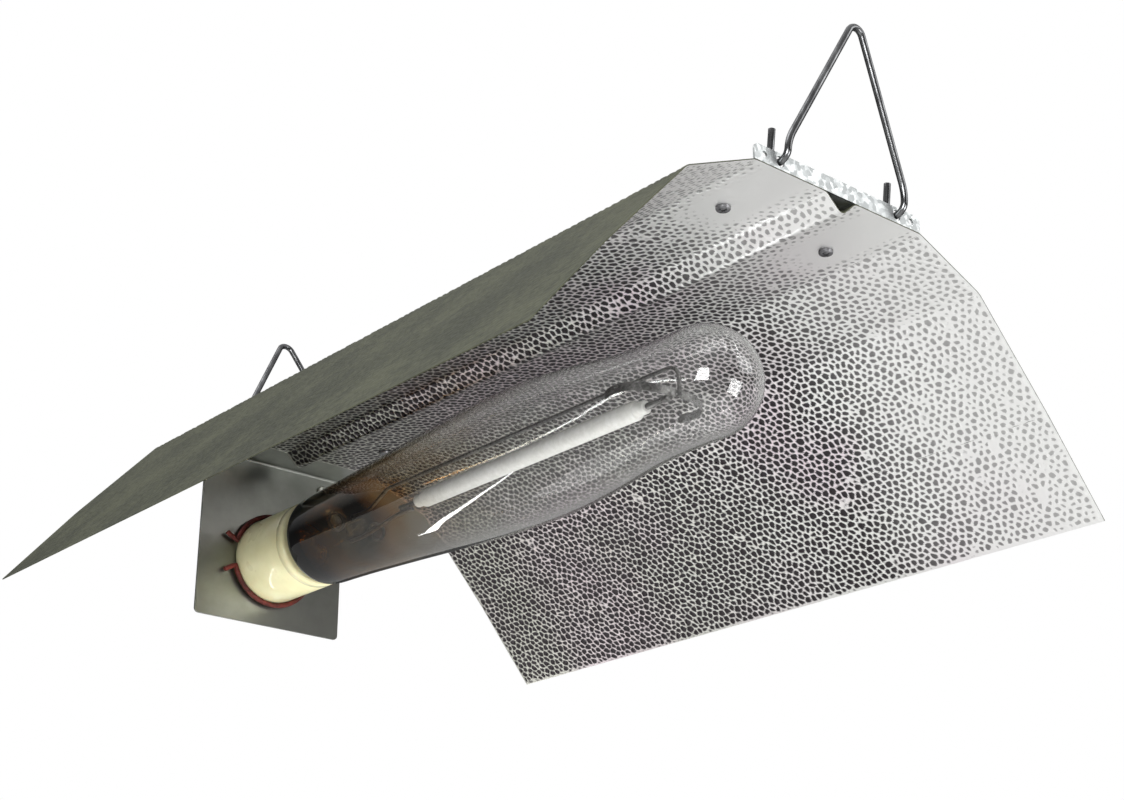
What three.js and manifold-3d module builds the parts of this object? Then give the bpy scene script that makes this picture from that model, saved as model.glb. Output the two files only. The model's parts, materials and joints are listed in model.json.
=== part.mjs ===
// A hanging grow lamp: a folded, hammered aluminium reflector with an end bracket and a wire
// hanger at each end, a porcelain screw lampholder on a steel plate, and a clear discharge lamp.
// Millimetres, +Z up. X runs along the lamp, from the lampholder (-X) to the open end (+X).
// The origin lies on the hanging line, midway along the reflector, at the height where a hook
// bears under the tops of the two wire hangers.
import * as THREE from "three";
import { mergeVertices } from "three/addons/utils/BufferGeometryUtils.js";
import Module from "manifold-3d";

const wasm = await Module();
wasm.setup();

// ---------------------------------------------------------------- driving dimensions

const SEAT = 0.05; // gap between faces that lie on each other
const GAP = 0.3; // gap round a piece that sits in another
const degrees = THREE.MathUtils.degToRad;

// Heights are measured from the top face of the flat roof.
const reflector = {
  length: 485,
  thickness: 0.6,
  grooveHalfWidth: 10,
  grooveDepth: 9,
  roofHalfWidth: 60,
  facets: [
    { length: 50.2, slope: 23.4 },
    { length: 75.5, slope: 47.5 },
    { length: 65.5, slope: 49.8 },
  ],
};

// Insets and the overhang are measured from the edge of the roof.
const bracket = {
  thickness: 1.2,
  reach: 57, // from the bar to the inner edge of the plate
  plateInset: 6,
  plateCorner: 6,
  barOverhang: 1,
  barHeight: 9,
  barCorner: 3,
  endHole: { inset: 6, radius: 1.8, height: 4.4 },
  screwFromEnd: 44.5, // from the end of the sheet
  screwInset: 22,
};

const screw = {
  radius: 2,
  headRim: 1.9, // head beyond the shank
  headHeight: 2.4,
  slotWidth: 0.9,
  slotDepth: 1.1,
  slotReach: 0.62, // share of the head's radius
  tail: 2.4,
  point: { length: 0.6, taper: 0.5 },
};
const nut = { wall: 1.2, height: 3.2, flangeRim: 2.3, flangeHeight: 0.9 };
const holeClearance = 0.3; // radial, round a screw

const hanger = {
  wireRadius: 1.9,
  hookRadius: 6,
  legInset: 17, // from the edge of the roof
  stub: 19.5, // top of the free end above the hole
  kneeHeight: 11,
  kneeRound: 6,
  rise: 87.3, // wire centre at the top of the hanger above the hole
  topRadius: 5.5,
  holeHeight: 4.4, // above the underside of the bracket
  holeClearance: 1,
  leanNear: 8,
  leanFar: -15,
};

const plate = {
  thickness: 1.2,
  inset: 4.5, // from the edge of the roof
  frontFace: 28.5, // beyond the end of the sheet
  belowHolder: 15.8,
  bendRadius: 3,
  flangePastScrew: 12,
};

const holder = {
  axisDepth: 68.5, // below the roof
  wall: 6.9, // outside the cavity
  edgeRadius: 2.5,
  shellClearance: 0.55,
  mouth: { flare: 1, land: 1, length: 4 },
  cavityDepth: 41.5,
  webThickness: 3.5,
  recessDepth: 11.5,
  rimWidth: 9.5, // of the foot, outside the recess
  fixingInset: 4.9, // from the outside of the foot
  fixingRadius: 1.7,
  fixingDepth: 9,
};

const fixingHead = { radius: 3.2, height: 2.2, slotWidth: 0.8, slotDepth: 1 };
const ring = { wireRadius: 1.6, gapAngle: 16, prong: 9, prongTurn: 3, offPlate: 3.4 };
const shellStrap = { halfWidth: 3, thickness: 1 };
const terminal = { rimGap: 1.8, width: 4.6, halfHeight: 5, thickness: 3.6, holeDepth: 3 };
const terminalScrew = { radius: 1.5, reach: 2.6 };
const terminalHead = { radius: 2.4, height: 1.6, slotWidth: 0.7, slotDepth: 1 };
const terminalLink = { thickness: 1, halfWidth: 3, rivetGap: 0.8 };
const rivet = { radius: 2.6, tail: 1 };
const tongue = { thickness: 0.6, halfWidth: 3.5, foot: 6.5, crown: 1.6 };

const thread = {
  pitch: 6.35,
  turns: 4,
  perTurn: 4, // stations in a turn
  depth: 0.7,
  wall: 0.45,
  lampRadius: 19.3,
  running: 0.6,
  shellLead: 3.05, // of the holder's thread, behind the lamp's
  shellLand: 2,
  sides: 24,
};

const capBase = {
  rim: 1.8, // behind the front of the lampholder
  rimLand: 2.2,
  shoulder: 2.8,
  footLip: 2,
  footRun: 1.2,
  insulatorRadius: 12,
  insulatorLength: 4,
  insulatorEdge: 0.8,
  collar: { rise: 0.6, length: 1.4 },
  tipRadius: 6.5,
  tipLength: 1.6,
};

const gland = {
  bore: 4,
  shankWall: 2.2,
  shankPast: 1, // beyond its nut
  nutWall: 2.8,
  nutThickness: 3.6,
  hexRim: 2.9,
  hexThickness: 3.4,
  neckWall: 3.6,
  neckLength: 7,
  capWall: 1.7,
  capLength: 9,
  capEnd: [
    [0, 3],
    [2.5, 0.8],
    [4, 0],
  ], // distance from the end, and how far inside the cap's radius
  flutes: { count: 12, radius: 1.1, proud: 0.6, start: 3.5 },
};

const earth = { inset: 18.5, depth: 10 }; // from the side and the top of the plate

// Lamp glass: radius along the lamp, from the front of the lampholder.
const glass = {
  wall: 1,
  neckDepth: 13.5,
  neckClearance: 0.85, // inside the screw base
  neckLip: 5.3,
  // Radii beyond the lamp's thread, where the glass comes out of the screw base.
  collar: [
    [-1.4, -1.3],
    [1.2, 1.7],
  ],
  shoulder: [
    [2.9, 25],
    [6.4, 28.6],
    [12, 29.9],
  ],
  body: [
    [29, 30.6],
    [54, 31.8],
    [94, 34.2],
    [134, 36.8],
    [174, 39.2],
    [209, 40.2],
    [239, 39.6],
    [269, 37],
    [294, 33.8],
    [314, 31.7],
    [336, 30.9],
    [359, 30.8],
  ],
  domeLength: 30.3,
  domeSteps: 7,
};

const burner = {
  start: 109, // from the front of the lampholder
  length: 205,
  radius: 5.5,
  endRadius: 3.9,
  endLength: 7,
  endTaper: 1.5,
  leadRadius: 1.9,
  leadLength: 18,
};

const stem = {
  flareGap: 1,
  flareSeat: 1,
  flareEdge: 1.5,
  flareLength: 8,
  tubeRadius: 6.6,
  tubeEnd: 28.6,
  pinchRadius: 4.8,
  pinchStart: 37.4,
  end: 52,
};
const frameWire = {
  radius: 1.2,
  offset: 17,
  tip: 339,
  bend: 9,
  foot: 14,
  heel: 4,
  joggle: 24,
  joggleRise: 4,
};
const leadWire = { heel: 3, taper: 12, overlap: 6, leadShare: 0.6 };
// Along the leaf: distance behind the end of the wire, and share of the reach to the glass.
const domeSpring = {
  width: 5,
  thickness: 0.5,
  clearance: 0.6,
  touch: 18,
  leaf: [
    [1, 0],
    [2, 0.45],
    [8, 0.85],
    [18, 1],
    [28, 0.94],
  ],
};
const getter = { radius: 5.5, wireRadius: 0.8, standOff: 9, behind: 8 };

const ROUND = 32; // sides of a large round piece
const SMALL_ROUND = 16;
const PAST = 1; // how far a cutter or a buried end runs past a face

// ---------------------------------------------------------------- worked-out places

const halfLength = reflector.length / 2;
const barMid = halfLength - bracket.thickness / 2;
const barHalfLength = reflector.roofHalfWidth + bracket.barOverhang;
const legOffset = reflector.roofHalfWidth - hanger.legInset;
const screwStation = halfLength - bracket.screwFromEnd;
const screwOffset = reflector.roofHalfWidth - bracket.screwInset;
const screwHeadRadius = screw.radius + screw.headRim;
const plateFront = -(halfLength + plate.frontFace);
const plateBack = plateFront - plate.thickness;
const plateHalfWidth = reflector.roofHalfWidth - plate.inset;
const flangeTop = SEAT + plate.thickness;
const farBracketBase = flangeTop + SEAT;
const axis = -holder.axisDepth;
const shellRadius = thread.lampRadius + thread.running + thread.depth + thread.wall;
const cavityRadius = shellRadius + holder.shellClearance;
const holderRadius = cavityRadius + holder.wall;
const recessRadius = holderRadius - holder.rimWidth;
const fixingOffset = holderRadius - holder.fixingInset;
const terminalOuter = recessRadius - terminal.rimGap;
const terminalInner = terminalOuter - terminal.width;
const terminalMiddle = (terminalInner + terminalOuter) / 2;
const earthOffset = plateHalfWidth - earth.inset;
const plateBottom = axis - holderRadius - plate.belowHolder;
const holderBack = plateFront + SEAT;
const webBack = holderBack + holder.recessDepth;
const cavityEnd = webBack + holder.webThickness;
const holderFront = cavityEnd + holder.cavityDepth;
const terminalFront = webBack - 2 * SEAT;
const terminalBack = terminalFront - terminal.thickness;
const baseRim = holderFront - capBase.rim;
const baseWaveEnd = baseRim - capBase.rimLand;
const baseWaveStart = baseWaveEnd - thread.turns * thread.pitch;
const baseFoot = baseWaveStart - capBase.shoulder;
const insulatorTip = baseFoot - capBase.insulatorLength;
const tipContactEnd = insulatorTip - SEAT - capBase.tipLength;
const neckStart = holderFront - glass.neckDepth;
const neckRadius = thread.lampRadius - thread.depth - thread.wall - glass.neckClearance;
const neckHole = neckRadius - glass.neckLip;
const burnerStart = holderFront + burner.start;
const burnerEnd = burnerStart + burner.length;
const shankRadius = gland.bore + gland.shankWall;
const glandNeckRadius = gland.bore + gland.neckWall;
const capInner = glandNeckRadius + GAP;
const capRadius = capInner + gland.capWall;
const glassCollar = glass.collar.map(([x, proud]) => [x, thread.lampRadius + proud]);

// A hanger leans about the centre of its hooks, so the round wire slides through its holes.
const hookCentre = hanger.holeHeight + hanger.hookRadius;
const hangerTop = (base, lean) =>
  base +
  hookCentre +
  (hanger.rise - hanger.hookRadius) * Math.cos(degrees(lean)) -
  hanger.hookRadius * Math.sin(degrees(Math.abs(lean)));
const hangDrop =
  (hangerTop(SEAT, hanger.leanNear) + hangerTop(farBracketBase, hanger.leanFar)) / 2 - hanger.wireRadius;

// ---------------------------------------------------------------- geometry helpers

function solid(geometry) {
  const flat = geometry.index ? geometry.toNonIndexed() : geometry;
  const bare = new THREE.BufferGeometry().setAttribute("position", flat.getAttribute("position"));
  const merged = mergeVertices(bare, 1e-4);
  return new wasm.Manifold(
    new wasm.Mesh({
      numProp: 3,
      vertProperties: merged.attributes.position.array,
      triVerts: new Uint32Array(merged.index.array),
    }),
  );
}

function geometryOf(body) {
  const mesh = body.getMesh();
  const geometry = new THREE.BufferGeometry();
  geometry.setAttribute("position", new THREE.BufferAttribute(new Float32Array(mesh.vertProperties), 3));
  geometry.setIndex(new THREE.BufferAttribute(new Uint32Array(mesh.triVerts), 1));
  geometry.computeVertexNormals();
  return geometry;
}

function cut(geometry, ...cutters) {
  return geometryOf(cutters.reduce((body, cutter) => body.subtract(solid(cutter)), solid(geometry)));
}

function join(...geometries) {
  const [first, ...rest] = geometries.map(solid);
  return geometryOf(rest.reduce((body, next) => body.add(next), first));
}

function block(x, y, z) {
  const geometry = new THREE.BoxGeometry(x[1] - x[0], y[1] - y[0], z[1] - z[0]);
  return geometry.translate((x[0] + x[1]) / 2, (y[0] + y[1]) / 2, (z[0] + z[1]) / 2);
}

const point = (x, y, z) => new THREE.Vector3(x, y, z);

// A straight round or many-sided bar from one point to another.
function bar(radius, from, to, sides = SMALL_ROUND) {
  const along = to.clone().sub(from);
  const turn = new THREE.Quaternion().setFromUnitVectors(point(0, 1, 0), along.clone().normalize());
  const middle = from.clone().add(to).multiplyScalar(0.5);
  return new THREE.CylinderGeometry(radius, radius, along.length(), sides)
    .applyQuaternion(turn)
    .translate(middle.x, middle.y, middle.z);
}

const hexRadius = (acrossFlats) => acrossFlats / Math.sqrt(3);

// A solid of revolution about the X axis from [x, radius] pairs, given from -X to +X outside
// and, on a hollow piece, back along the inside.
function turned(profile, sides = ROUND) {
  const points = profile.map(([x, radius]) => new THREE.Vector2(radius, x));
  return new THREE.LatheGeometry(points, sides).rotateZ(-Math.PI / 2);
}

// The same about the Z axis, from [radius, z] pairs.
function turnedUpright(profile, sides = SMALL_ROUND) {
  const points = profile.map(([radius, z]) => new THREE.Vector2(radius, z));
  return new THREE.LatheGeometry(points, sides).rotateX(Math.PI / 2);
}

const axesYZX = new THREE.Matrix4().makeBasis(point(0, 1, 0), point(0, 0, 1), point(1, 0, 0));

// A flat outline in Y and Z, carried along X.
function alongX(outline, from, to) {
  return new THREE.ExtrudeGeometry(outline, { depth: to - from, bevelEnabled: false })
    .applyMatrix4(axesYZX)
    .translate(from, 0, 0);
}

// A flat outline in X and Z, carried along Y on both sides of the middle.
function acrossY(outline, halfWidth) {
  return new THREE.ExtrudeGeometry(outline, { depth: 2 * halfWidth, bevelEnabled: false })
    .rotateX(Math.PI / 2)
    .translate(0, halfWidth, 0);
}

function outlineOf(pairs) {
  return new THREE.Shape(pairs.map(([u, v]) => new THREE.Vector2(u, v)));
}

// The points of a line moved sideways by a distance, to its left, with mitred corners.
function moved(pairs, distance) {
  const normals = pairs.slice(1).map(([u, v], i) => {
    const along = new THREE.Vector2(u - pairs[i][0], v - pairs[i][1]).normalize();
    return new THREE.Vector2(-along.y, along.x);
  });
  return pairs.map(([u, v], i) => {
    const before = normals[Math.max(i - 1, 0)];
    const after = normals[Math.min(i, normals.length - 1)];
    const mitre = before.clone().add(after).normalize();
    const reach = distance / mitre.dot(before);
    return [u + mitre.x * reach, v + mitre.y * reach];
  });
}

// A path given by its stations, so that its sections stand where they are needed.
class StationPath extends THREE.Curve {
  constructor(stations) {
    super();
    this.stations = stations;
  }

  at(u) {
    return Math.round(u * (this.stations.length - 1));
  }

  getPoint(u) {
    return this.stations[this.at(u)].clone();
  }

  getPointAt(u) {
    return this.getPoint(u);
  }

  getTangentAt(u) {
    const i = this.at(u);
    const last = this.stations.length - 1;
    return this.stations[Math.min(i + 1, last)].clone().sub(this.stations[Math.max(i - 1, 0)]).normalize();
  }
}

function wireAlong(stations, radius, sides = 8) {
  const section = new THREE.Shape(
    Array.from({ length: sides }, (_, i) => {
      const angle = (2 * Math.PI * i) / sides;
      return new THREE.Vector2(radius * Math.cos(angle), radius * Math.sin(angle));
    }),
  );
  return new THREE.ExtrudeGeometry(section, {
    steps: stations.length - 1,
    extrudePath: new StationPath(stations),
    bevelEnabled: false,
  });
}

// Points on a circle round a centre, in the plane of two unit vectors.
function arc(centre, across, up, radius, from, to, steps) {
  return Array.from({ length: steps + 1 }, (_, i) => {
    const angle = degrees(from + ((to - from) * i) / steps);
    return centre
      .clone()
      .addScaledVector(across, radius * Math.cos(angle))
      .addScaledVector(up, radius * Math.sin(angle));
  });
}

// ---------------------------------------------------------------- materials

const finish = (color, roughness, metalness, extra = {}) =>
  new THREE.MeshStandardMaterial({ color, roughness, metalness, ...extra });

const hammered = finish(0xc4c5c2, 0.3, 1);
const galvanised = finish(0xb9bbb9, 0.4, 1);
const platedSteel = finish(0xa9aaa6, 0.3, 1);
const brightWire = finish(0x8d8f90, 0.2, 1);
const porcelain = finish(0xd9d3a4, 0.25, 0);
const brass = finish(0xb8973f, 0.35, 1);
const oxide = finish(0x4a1c14, 0.6, 0.2);
const clearGlass = finish(0xdfe4e0, 0.05, 0, { transparent: true, opacity: 0.3 });
const blackGlass = finish(0x15110f, 0.2, 0);
const ceramic = finish(0xf0eee8, 0.5, 0);
const niobium = finish(0x8e8c88, 0.4, 1);
const blackPlastic = finish(0x1d1d1e, 0.5, 0);

function piece(name, geometry, material) {
  const mesh = new THREE.Mesh(geometry, material);
  mesh.name = name;
  return mesh;
}

// ---------------------------------------------------------------- reflector

// The right half of the folded section, from the middle of the groove outwards.
function reflectorLine() {
  const line = [
    [0, -reflector.grooveDepth],
    [reflector.grooveHalfWidth, 0],
    [reflector.roofHalfWidth, 0],
  ];
  for (const { length, slope } of reflector.facets) {
    const [y, z] = line[line.length - 1];
    line.push([y + length * Math.cos(degrees(slope)), z - length * Math.sin(degrees(slope))]);
  }
  return line;
}

function reflectorSheet() {
  const right = reflectorLine();
  const left = right.slice(1).map(([y, z]) => [-y, z]);
  const topFace = [...left.reverse(), ...right];
  const underside = moved(topFace, -reflector.thickness);
  const sheet = alongX(outlineOf([...topFace, ...underside.reverse()]), -halfLength, halfLength);
  return cut(sheet, ...screwHoles(1), ...screwHoles(-1));
}

// Upright cutters for the two screws at one end.
function screwHoles(side) {
  const x = side * screwStation;
  return [-screwOffset, screwOffset].map((y) =>
    bar(screw.radius + holeClearance, point(x, y, -reflector.grooveDepth), point(x, y, bracket.barHeight)),
  );
}

// ---------------------------------------------------------------- end brackets

// Made for the near end, with its underside at zero height.
function endBracket() {
  const { reach, plateCorner: corner, thickness, barHeight, barCorner, endHole } = bracket;
  const half = reflector.roofHalfWidth - bracket.plateInset;
  const inner = halfLength - reach;
  const outline = new THREE.Shape();
  outline.moveTo(halfLength, -half);
  outline.lineTo(halfLength, half);
  outline.lineTo(inner + corner, half);
  outline.absarc(inner + corner, half - corner, corner, Math.PI / 2, Math.PI, false);
  outline.lineTo(inner, -half + corner);
  outline.absarc(inner + corner, -half + corner, corner, Math.PI, 1.5 * Math.PI, false);
  const folded = { depth: thickness, bevelEnabled: false, curveSegments: 4 };
  const flat = new THREE.ExtrudeGeometry(outline, folded);

  const face = new THREE.Shape();
  face.moveTo(-barHalfLength, 0);
  face.lineTo(barHalfLength, 0);
  face.lineTo(barHalfLength, barHeight - barCorner);
  face.absarc(barHalfLength - barCorner, barHeight - barCorner, barCorner, 0, Math.PI / 2, false);
  face.lineTo(-barHalfLength + barCorner, barHeight);
  face.absarc(-barHalfLength + barCorner, barHeight - barCorner, barCorner, Math.PI / 2, Math.PI, false);
  const upright = new THREE.ExtrudeGeometry(face, folded)
    .applyMatrix4(axesYZX)
    .translate(halfLength - thickness, 0, 0);

  const through = (radius, y, z) =>
    bar(radius, point(halfLength - thickness - PAST, y, z), point(halfLength + PAST, y, z));
  const endOffset = reflector.roofHalfWidth - endHole.inset;
  return cut(
    join(flat, upright),
    ...screwHoles(1),
    ...[-1, 1].flatMap((side) => [
      through(hanger.wireRadius + hanger.holeClearance, side * legOffset, hanger.holeHeight),
      through(endHole.radius, side * endOffset, endHole.height),
    ]),
  );
}

// ---------------------------------------------------------------- fasteners

// A slotted pan-head screw pointing up, with the underside of its head at zero height.
function panScrew(reach) {
  const { radius, headHeight, slotWidth, slotDepth } = screw;
  const body = turnedUpright([
    [0, -headHeight],
    [screwHeadRadius * 0.6, -headHeight],
    [screwHeadRadius * 0.9, -headHeight * 0.75],
    [screwHeadRadius, -headHeight * 0.4],
    [screwHeadRadius, 0],
    [radius, 0],
    [radius, reach - screw.point.length],
    [radius - screw.point.taper, reach],
    [0, reach],
  ]);
  const slotHalf = screwHeadRadius * screw.slotReach;
  const slot = (x, y) => block([-x, x], [-y, y], [-headHeight - PAST, slotDepth - headHeight]);
  return cut(body, slot(slotHalf, slotWidth / 2), slot(slotWidth / 2, slotHalf));
}

// A flanged hexagon nut with its flange at zero height.
function flangedNut() {
  const boreRadius = screw.radius + GAP;
  const flange = bar(boreRadius + nut.flangeRim, point(0, 0, 0), point(0, 0, nut.flangeHeight));
  const body = bar(hexRadius(2 * (boreRadius + nut.wall)), point(0, 0, 0), point(0, 0, nut.height), 6);
  const bore = bar(boreRadius, point(0, 0, -PAST), point(0, 0, nut.height + PAST));
  return cut(join(flange, body), bore);
}

function bracketFasteners(end, side, base) {
  const group = new THREE.Group();
  const clamped = base + bracket.thickness;
  const head = -reflector.thickness - SEAT;
  const seat = clamped + SEAT;
  for (const [hand, y] of [
    ["left", -screwOffset],
    ["right", screwOffset],
  ]) {
    const fastener = piece(
      `bracket_screw_${end}_${hand}`,
      panScrew(seat - head + nut.height + screw.tail),
      platedSteel,
    );
    fastener.position.set(side * screwStation, y, head);
    const holding = piece(`bracket_nut_${end}_${hand}`, flangedNut(), platedSteel);
    holding.position.set(side * screwStation, y, seat);
    group.add(fastener, holding);
  }
  return group;
}

// ---------------------------------------------------------------- wire hangers

// One wire, from free end to free end, with the line through the holes in the bar at zero height.
function hangerWire() {
  const { hookRadius, stub, kneeHeight, kneeRound, rise, topRadius, wireRadius } = hanger;
  const topCentre = rise - topRadius;
  const toKnee = new THREE.Vector2(legOffset, kneeHeight - topCentre);
  const touch = toKnee.angle() - 2 * Math.PI + Math.acos(topRadius / toKnee.length());
  const touchDegrees = THREE.MathUtils.radToDeg(touch);
  const half = (side) => {
    const across = point(0, side, 0);
    const up = point(0, 0, 1);
    const knee = point(hookRadius, side * legOffset, kneeHeight);
    const legTop = arc(point(hookRadius, 0, topCentre), across, up, topRadius, 90, touchDegrees, 6);
    const leg = legTop[legTop.length - 1].clone().sub(knee).normalize();
    const bend = new THREE.QuadraticBezierCurve3(
      knee.clone().addScaledVector(leg, kneeRound),
      knee,
      point(hookRadius, side * legOffset, hookRadius),
    );
    const hook = arc(point(0, side * legOffset, hookRadius), point(1, 0, 0), up, hookRadius, 0, -180, 10);
    return [
      ...legTop,
      knee.clone().lerp(legTop[legTop.length - 1], 0.5),
      ...bend.getPoints(4),
      ...hook.slice(1),
      point(-hookRadius, side * legOffset, stub),
    ];
  };
  return wireAlong([...half(-1).reverse(), ...half(1).slice(1)], wireRadius);
}

function hangerAt(name, side, base, lean) {
  const mesh = piece(name, hangerWire(), brightWire);
  mesh.rotation.z = side > 0 ? 0 : Math.PI;
  mesh.position.z = -hanger.hookRadius;
  const tilt = new THREE.Group();
  tilt.position.set(side * barMid, 0, base + hookCentre);
  tilt.rotation.y = degrees(lean);
  tilt.add(mesh);
  return tilt;
}

// ---------------------------------------------------------------- lampholder plate

function lampholderPlate() {
  const { thickness, bendRadius, flangePastScrew } = plate;
  const inner = -(screwStation - flangePastScrew);
  const top = flangeTop;
  const outline = new THREE.Shape();
  outline.moveTo(inner, top);
  outline.lineTo(plateBack + bendRadius, top);
  const bend = [plateBack + bendRadius, top - bendRadius];
  outline.absarc(...bend, bendRadius, Math.PI / 2, Math.PI, false);
  outline.lineTo(plateBack, plateBottom);
  outline.lineTo(plateFront, plateBottom);
  outline.lineTo(plateFront, top - bendRadius);
  outline.absarc(...bend, bendRadius - thickness, Math.PI, Math.PI / 2, true);
  outline.lineTo(inner, top - thickness);
  const through = (radius, y, z) =>
    bar(radius, point(plateBack - PAST, y, z), point(plateFront + PAST, y, z));
  return cut(
    acrossY(outline, plateHalfWidth),
    ...screwHoles(-1),
    through(shankRadius + GAP, 0, axis),
    through(holder.fixingRadius + GAP, 0, axis - fixingOffset),
    through(holder.fixingRadius + GAP, 0, axis + fixingOffset),
    through(screw.radius + GAP, earthOffset, -earth.depth),
  );
}

// ---------------------------------------------------------------- lampholder

function porcelainBody() {
  const { edgeRadius, mouth } = holder;
  const edgeSteps = 3;
  const edge = (x, from, to) =>
    Array.from({ length: edgeSteps + 1 }, (_, i) => {
      const angle = degrees(from + ((to - from) * i) / edgeSteps);
      return [x + edgeRadius * Math.cos(angle), holderRadius - edgeRadius + edgeRadius * Math.sin(angle)];
    });
  const body = turned([
    [webBack, 0],
    [webBack, recessRadius],
    [holderBack, recessRadius],
    ...edge(holderBack + edgeRadius, 180, 90),
    ...edge(holderFront - edgeRadius, 90, 0),
    [holderFront, cavityRadius + mouth.flare + mouth.land],
    [holderFront - mouth.land, cavityRadius + mouth.flare],
    [holderFront - mouth.length, cavityRadius],
    [cavityEnd, cavityRadius],
    [cavityEnd, 0],
  ]);
  const fixingEnd = holderBack + holder.fixingDepth;
  const fixing = (z) =>
    bar(holder.fixingRadius + GAP, point(holderBack - PAST, 0, z), point(fixingEnd, 0, z), 12);
  const strapSlot = block(
    [webBack - PAST, cavityEnd + PAST],
    [terminalMiddle - shellStrap.thickness / 2 - GAP, terminalMiddle + shellStrap.thickness / 2 + GAP],
    [-shellStrap.halfWidth - GAP, shellStrap.halfWidth + GAP],
  );
  const rivetHole = bar(rivet.radius + GAP, point(webBack - PAST, 0, 0), point(cavityEnd + PAST, 0, 0));
  return cut(body, fixing(fixingOffset), fixing(-fixingOffset), strapSlot, rivetHole);
}

// Radius pairs of a rolled screw thread as a train of round rings, from -X to +X.
function threadWave(start, crest) {
  const { perTurn, turns, pitch, depth } = thread;
  return Array.from({ length: turns * perTurn + 1 }, (_, i) => [
    start + (i * pitch) / perTurn,
    crest - (depth / 2) * (1 - Math.cos((2 * Math.PI * i) / perTurn)),
  ]);
}

function screwShell() {
  const floor = cavityEnd + SEAT;
  const wave = threadWave(baseWaveStart - thread.shellLead, shellRadius);
  const front = wave[wave.length - 1][0] + thread.shellLand;
  const outside = [[floor, shellRadius], ...wave, [front, shellRadius]];
  const inside = moved(outside, -thread.wall).reverse();
  inside[inside.length - 1] = [floor + thread.wall, shellRadius - thread.wall];
  const floorInner = terminalInner - shellStrap.thickness;
  const tube = turned(
    [
      ...outside,
      ...inside,
      [floor + thread.wall, floorInner],
      [floor, floorInner],
      [floor, shellRadius],
    ],
    thread.sides,
  );
  const strap = block(
    [webBack - SEAT, floor + thread.wall / 2],
    [terminalMiddle - shellStrap.thickness / 2, terminalMiddle + shellStrap.thickness / 2],
    [-shellStrap.halfWidth, shellStrap.halfWidth],
  );
  return join(tube, strap);
}

// Spring tongue riveted through the web: a flat strip with an arch that meets the lamp's contact.
function contactSpring() {
  const { thickness, halfWidth, foot, crown } = tongue;
  const base = cavityEnd + SEAT;
  const face = tipContactEnd - GAP;
  const line = [
    [base, -foot],
    [base, foot * 0.3],
    [(base + face) / 2, foot],
    [face - thickness, foot * 0.85],
    [face, crown],
    [face, -crown],
  ];
  const strip = acrossY(outlineOf([...line, ...moved(line, -thickness).reverse()]), halfWidth);
  const pin = bar(rivet.radius, point(webBack - rivet.tail, 0, 0), point(base + thickness / 2, 0, 0));
  return join(strip, pin);
}

// A brass block with a tapped hole along X, on one side of the recess.
function terminalBlock(side, extra) {
  const y = side > 0 ? [terminalInner, terminalOuter] : [-terminalOuter, -terminalInner];
  const body = block([terminalBack, terminalFront], y, [-terminal.halfHeight, terminal.halfHeight]);
  const middle = side * terminalMiddle;
  const tapped = bar(
    terminalScrew.radius + GAP,
    point(terminalBack - PAST, middle, 0),
    point(terminalBack + terminal.holeDepth, middle, 0),
    12,
  );
  return cut(extra ? join(body, extra) : body, tapped);
}

// The strip that joins one terminal to the rivet of the contact spring.
function terminalStrip() {
  const { thickness, halfWidth, rivetGap } = terminalLink;
  return block(
    [terminalFront - thickness, terminalFront],
    [-terminalInner - PAST, -(rivet.radius + rivetGap)],
    [-halfWidth, halfWidth],
  );
}

// A slotted cheese-head screw along +X, with the underside of its head at a face.
function cheeseScrew(face, tip, y, z, radius, head) {
  const top = face - head.height;
  const cap = bar(head.radius, point(top, y, z), point(face, y, z));
  const shank = bar(radius, point(top + head.slotDepth, y, z), point(tip, y, z), 12);
  const slot = block(
    [top - PAST, top + head.slotDepth],
    [y - head.slotWidth / 2, y + head.slotWidth / 2],
    [z - head.radius - PAST, z + head.radius + PAST],
  );
  return cut(join(cap, shank), slot);
}

function terminalScrewAt(side) {
  const { radius, reach } = terminalScrew;
  const tip = terminalBack + reach;
  return cheeseScrew(terminalBack - SEAT, tip, side * terminalMiddle, 0, radius, terminalHead);
}

// Through the back of the plate into the porcelain.
function holderScrew(z) {
  const tip = holderBack + holder.fixingDepth - PAST;
  return cheeseScrew(plateBack - SEAT, tip, 0, z, holder.fixingRadius, fixingHead);
}

// A split wire ring round the foot of the porcelain, with its two ends turned out.
function retainingRing() {
  const radius = holderRadius + ring.wireRadius + GAP;
  const centre = point(holderBack + ring.offPlate, 0, 0);
  const across = point(0, -1, 0);
  const up = point(0, 0, 1);
  const [from, to] = [ring.gapAngle, 360 - ring.gapAngle];
  const round = arc(centre, across, up, radius, from, to, 40);
  const out = (angle) => arc(centre, across, up, radius + ring.prong, angle, angle, 1)[0];
  return wireAlong([out(from + ring.prongTurn), ...round, out(to - ring.prongTurn)], ring.wireRadius);
}

// ---------------------------------------------------------------- cord inlet

function glandBody() {
  const seat = plateBack - SEAT;
  const hexBack = seat - gland.hexThickness;
  const flats = 2 * (glandNeckRadius + gland.hexRim);
  const hex = bar(hexRadius(flats), point(hexBack, 0, 0), point(seat, 0, 0), 6);
  const inner = plateFront + gland.nutThickness + gland.shankPast;
  const shank = bar(shankRadius, point(seat - PAST, 0, 0), point(inner, 0, 0));
  const neckEnd = hexBack - gland.neckLength;
  const neck = bar(glandNeckRadius, point(neckEnd, 0, 0), point(hexBack + PAST, 0, 0));
  const bore = bar(gland.bore, point(neckEnd - PAST, 0, 0), point(inner + PAST, 0, 0));
  return cut(join(hex, shank, neck), bore);
}

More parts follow.
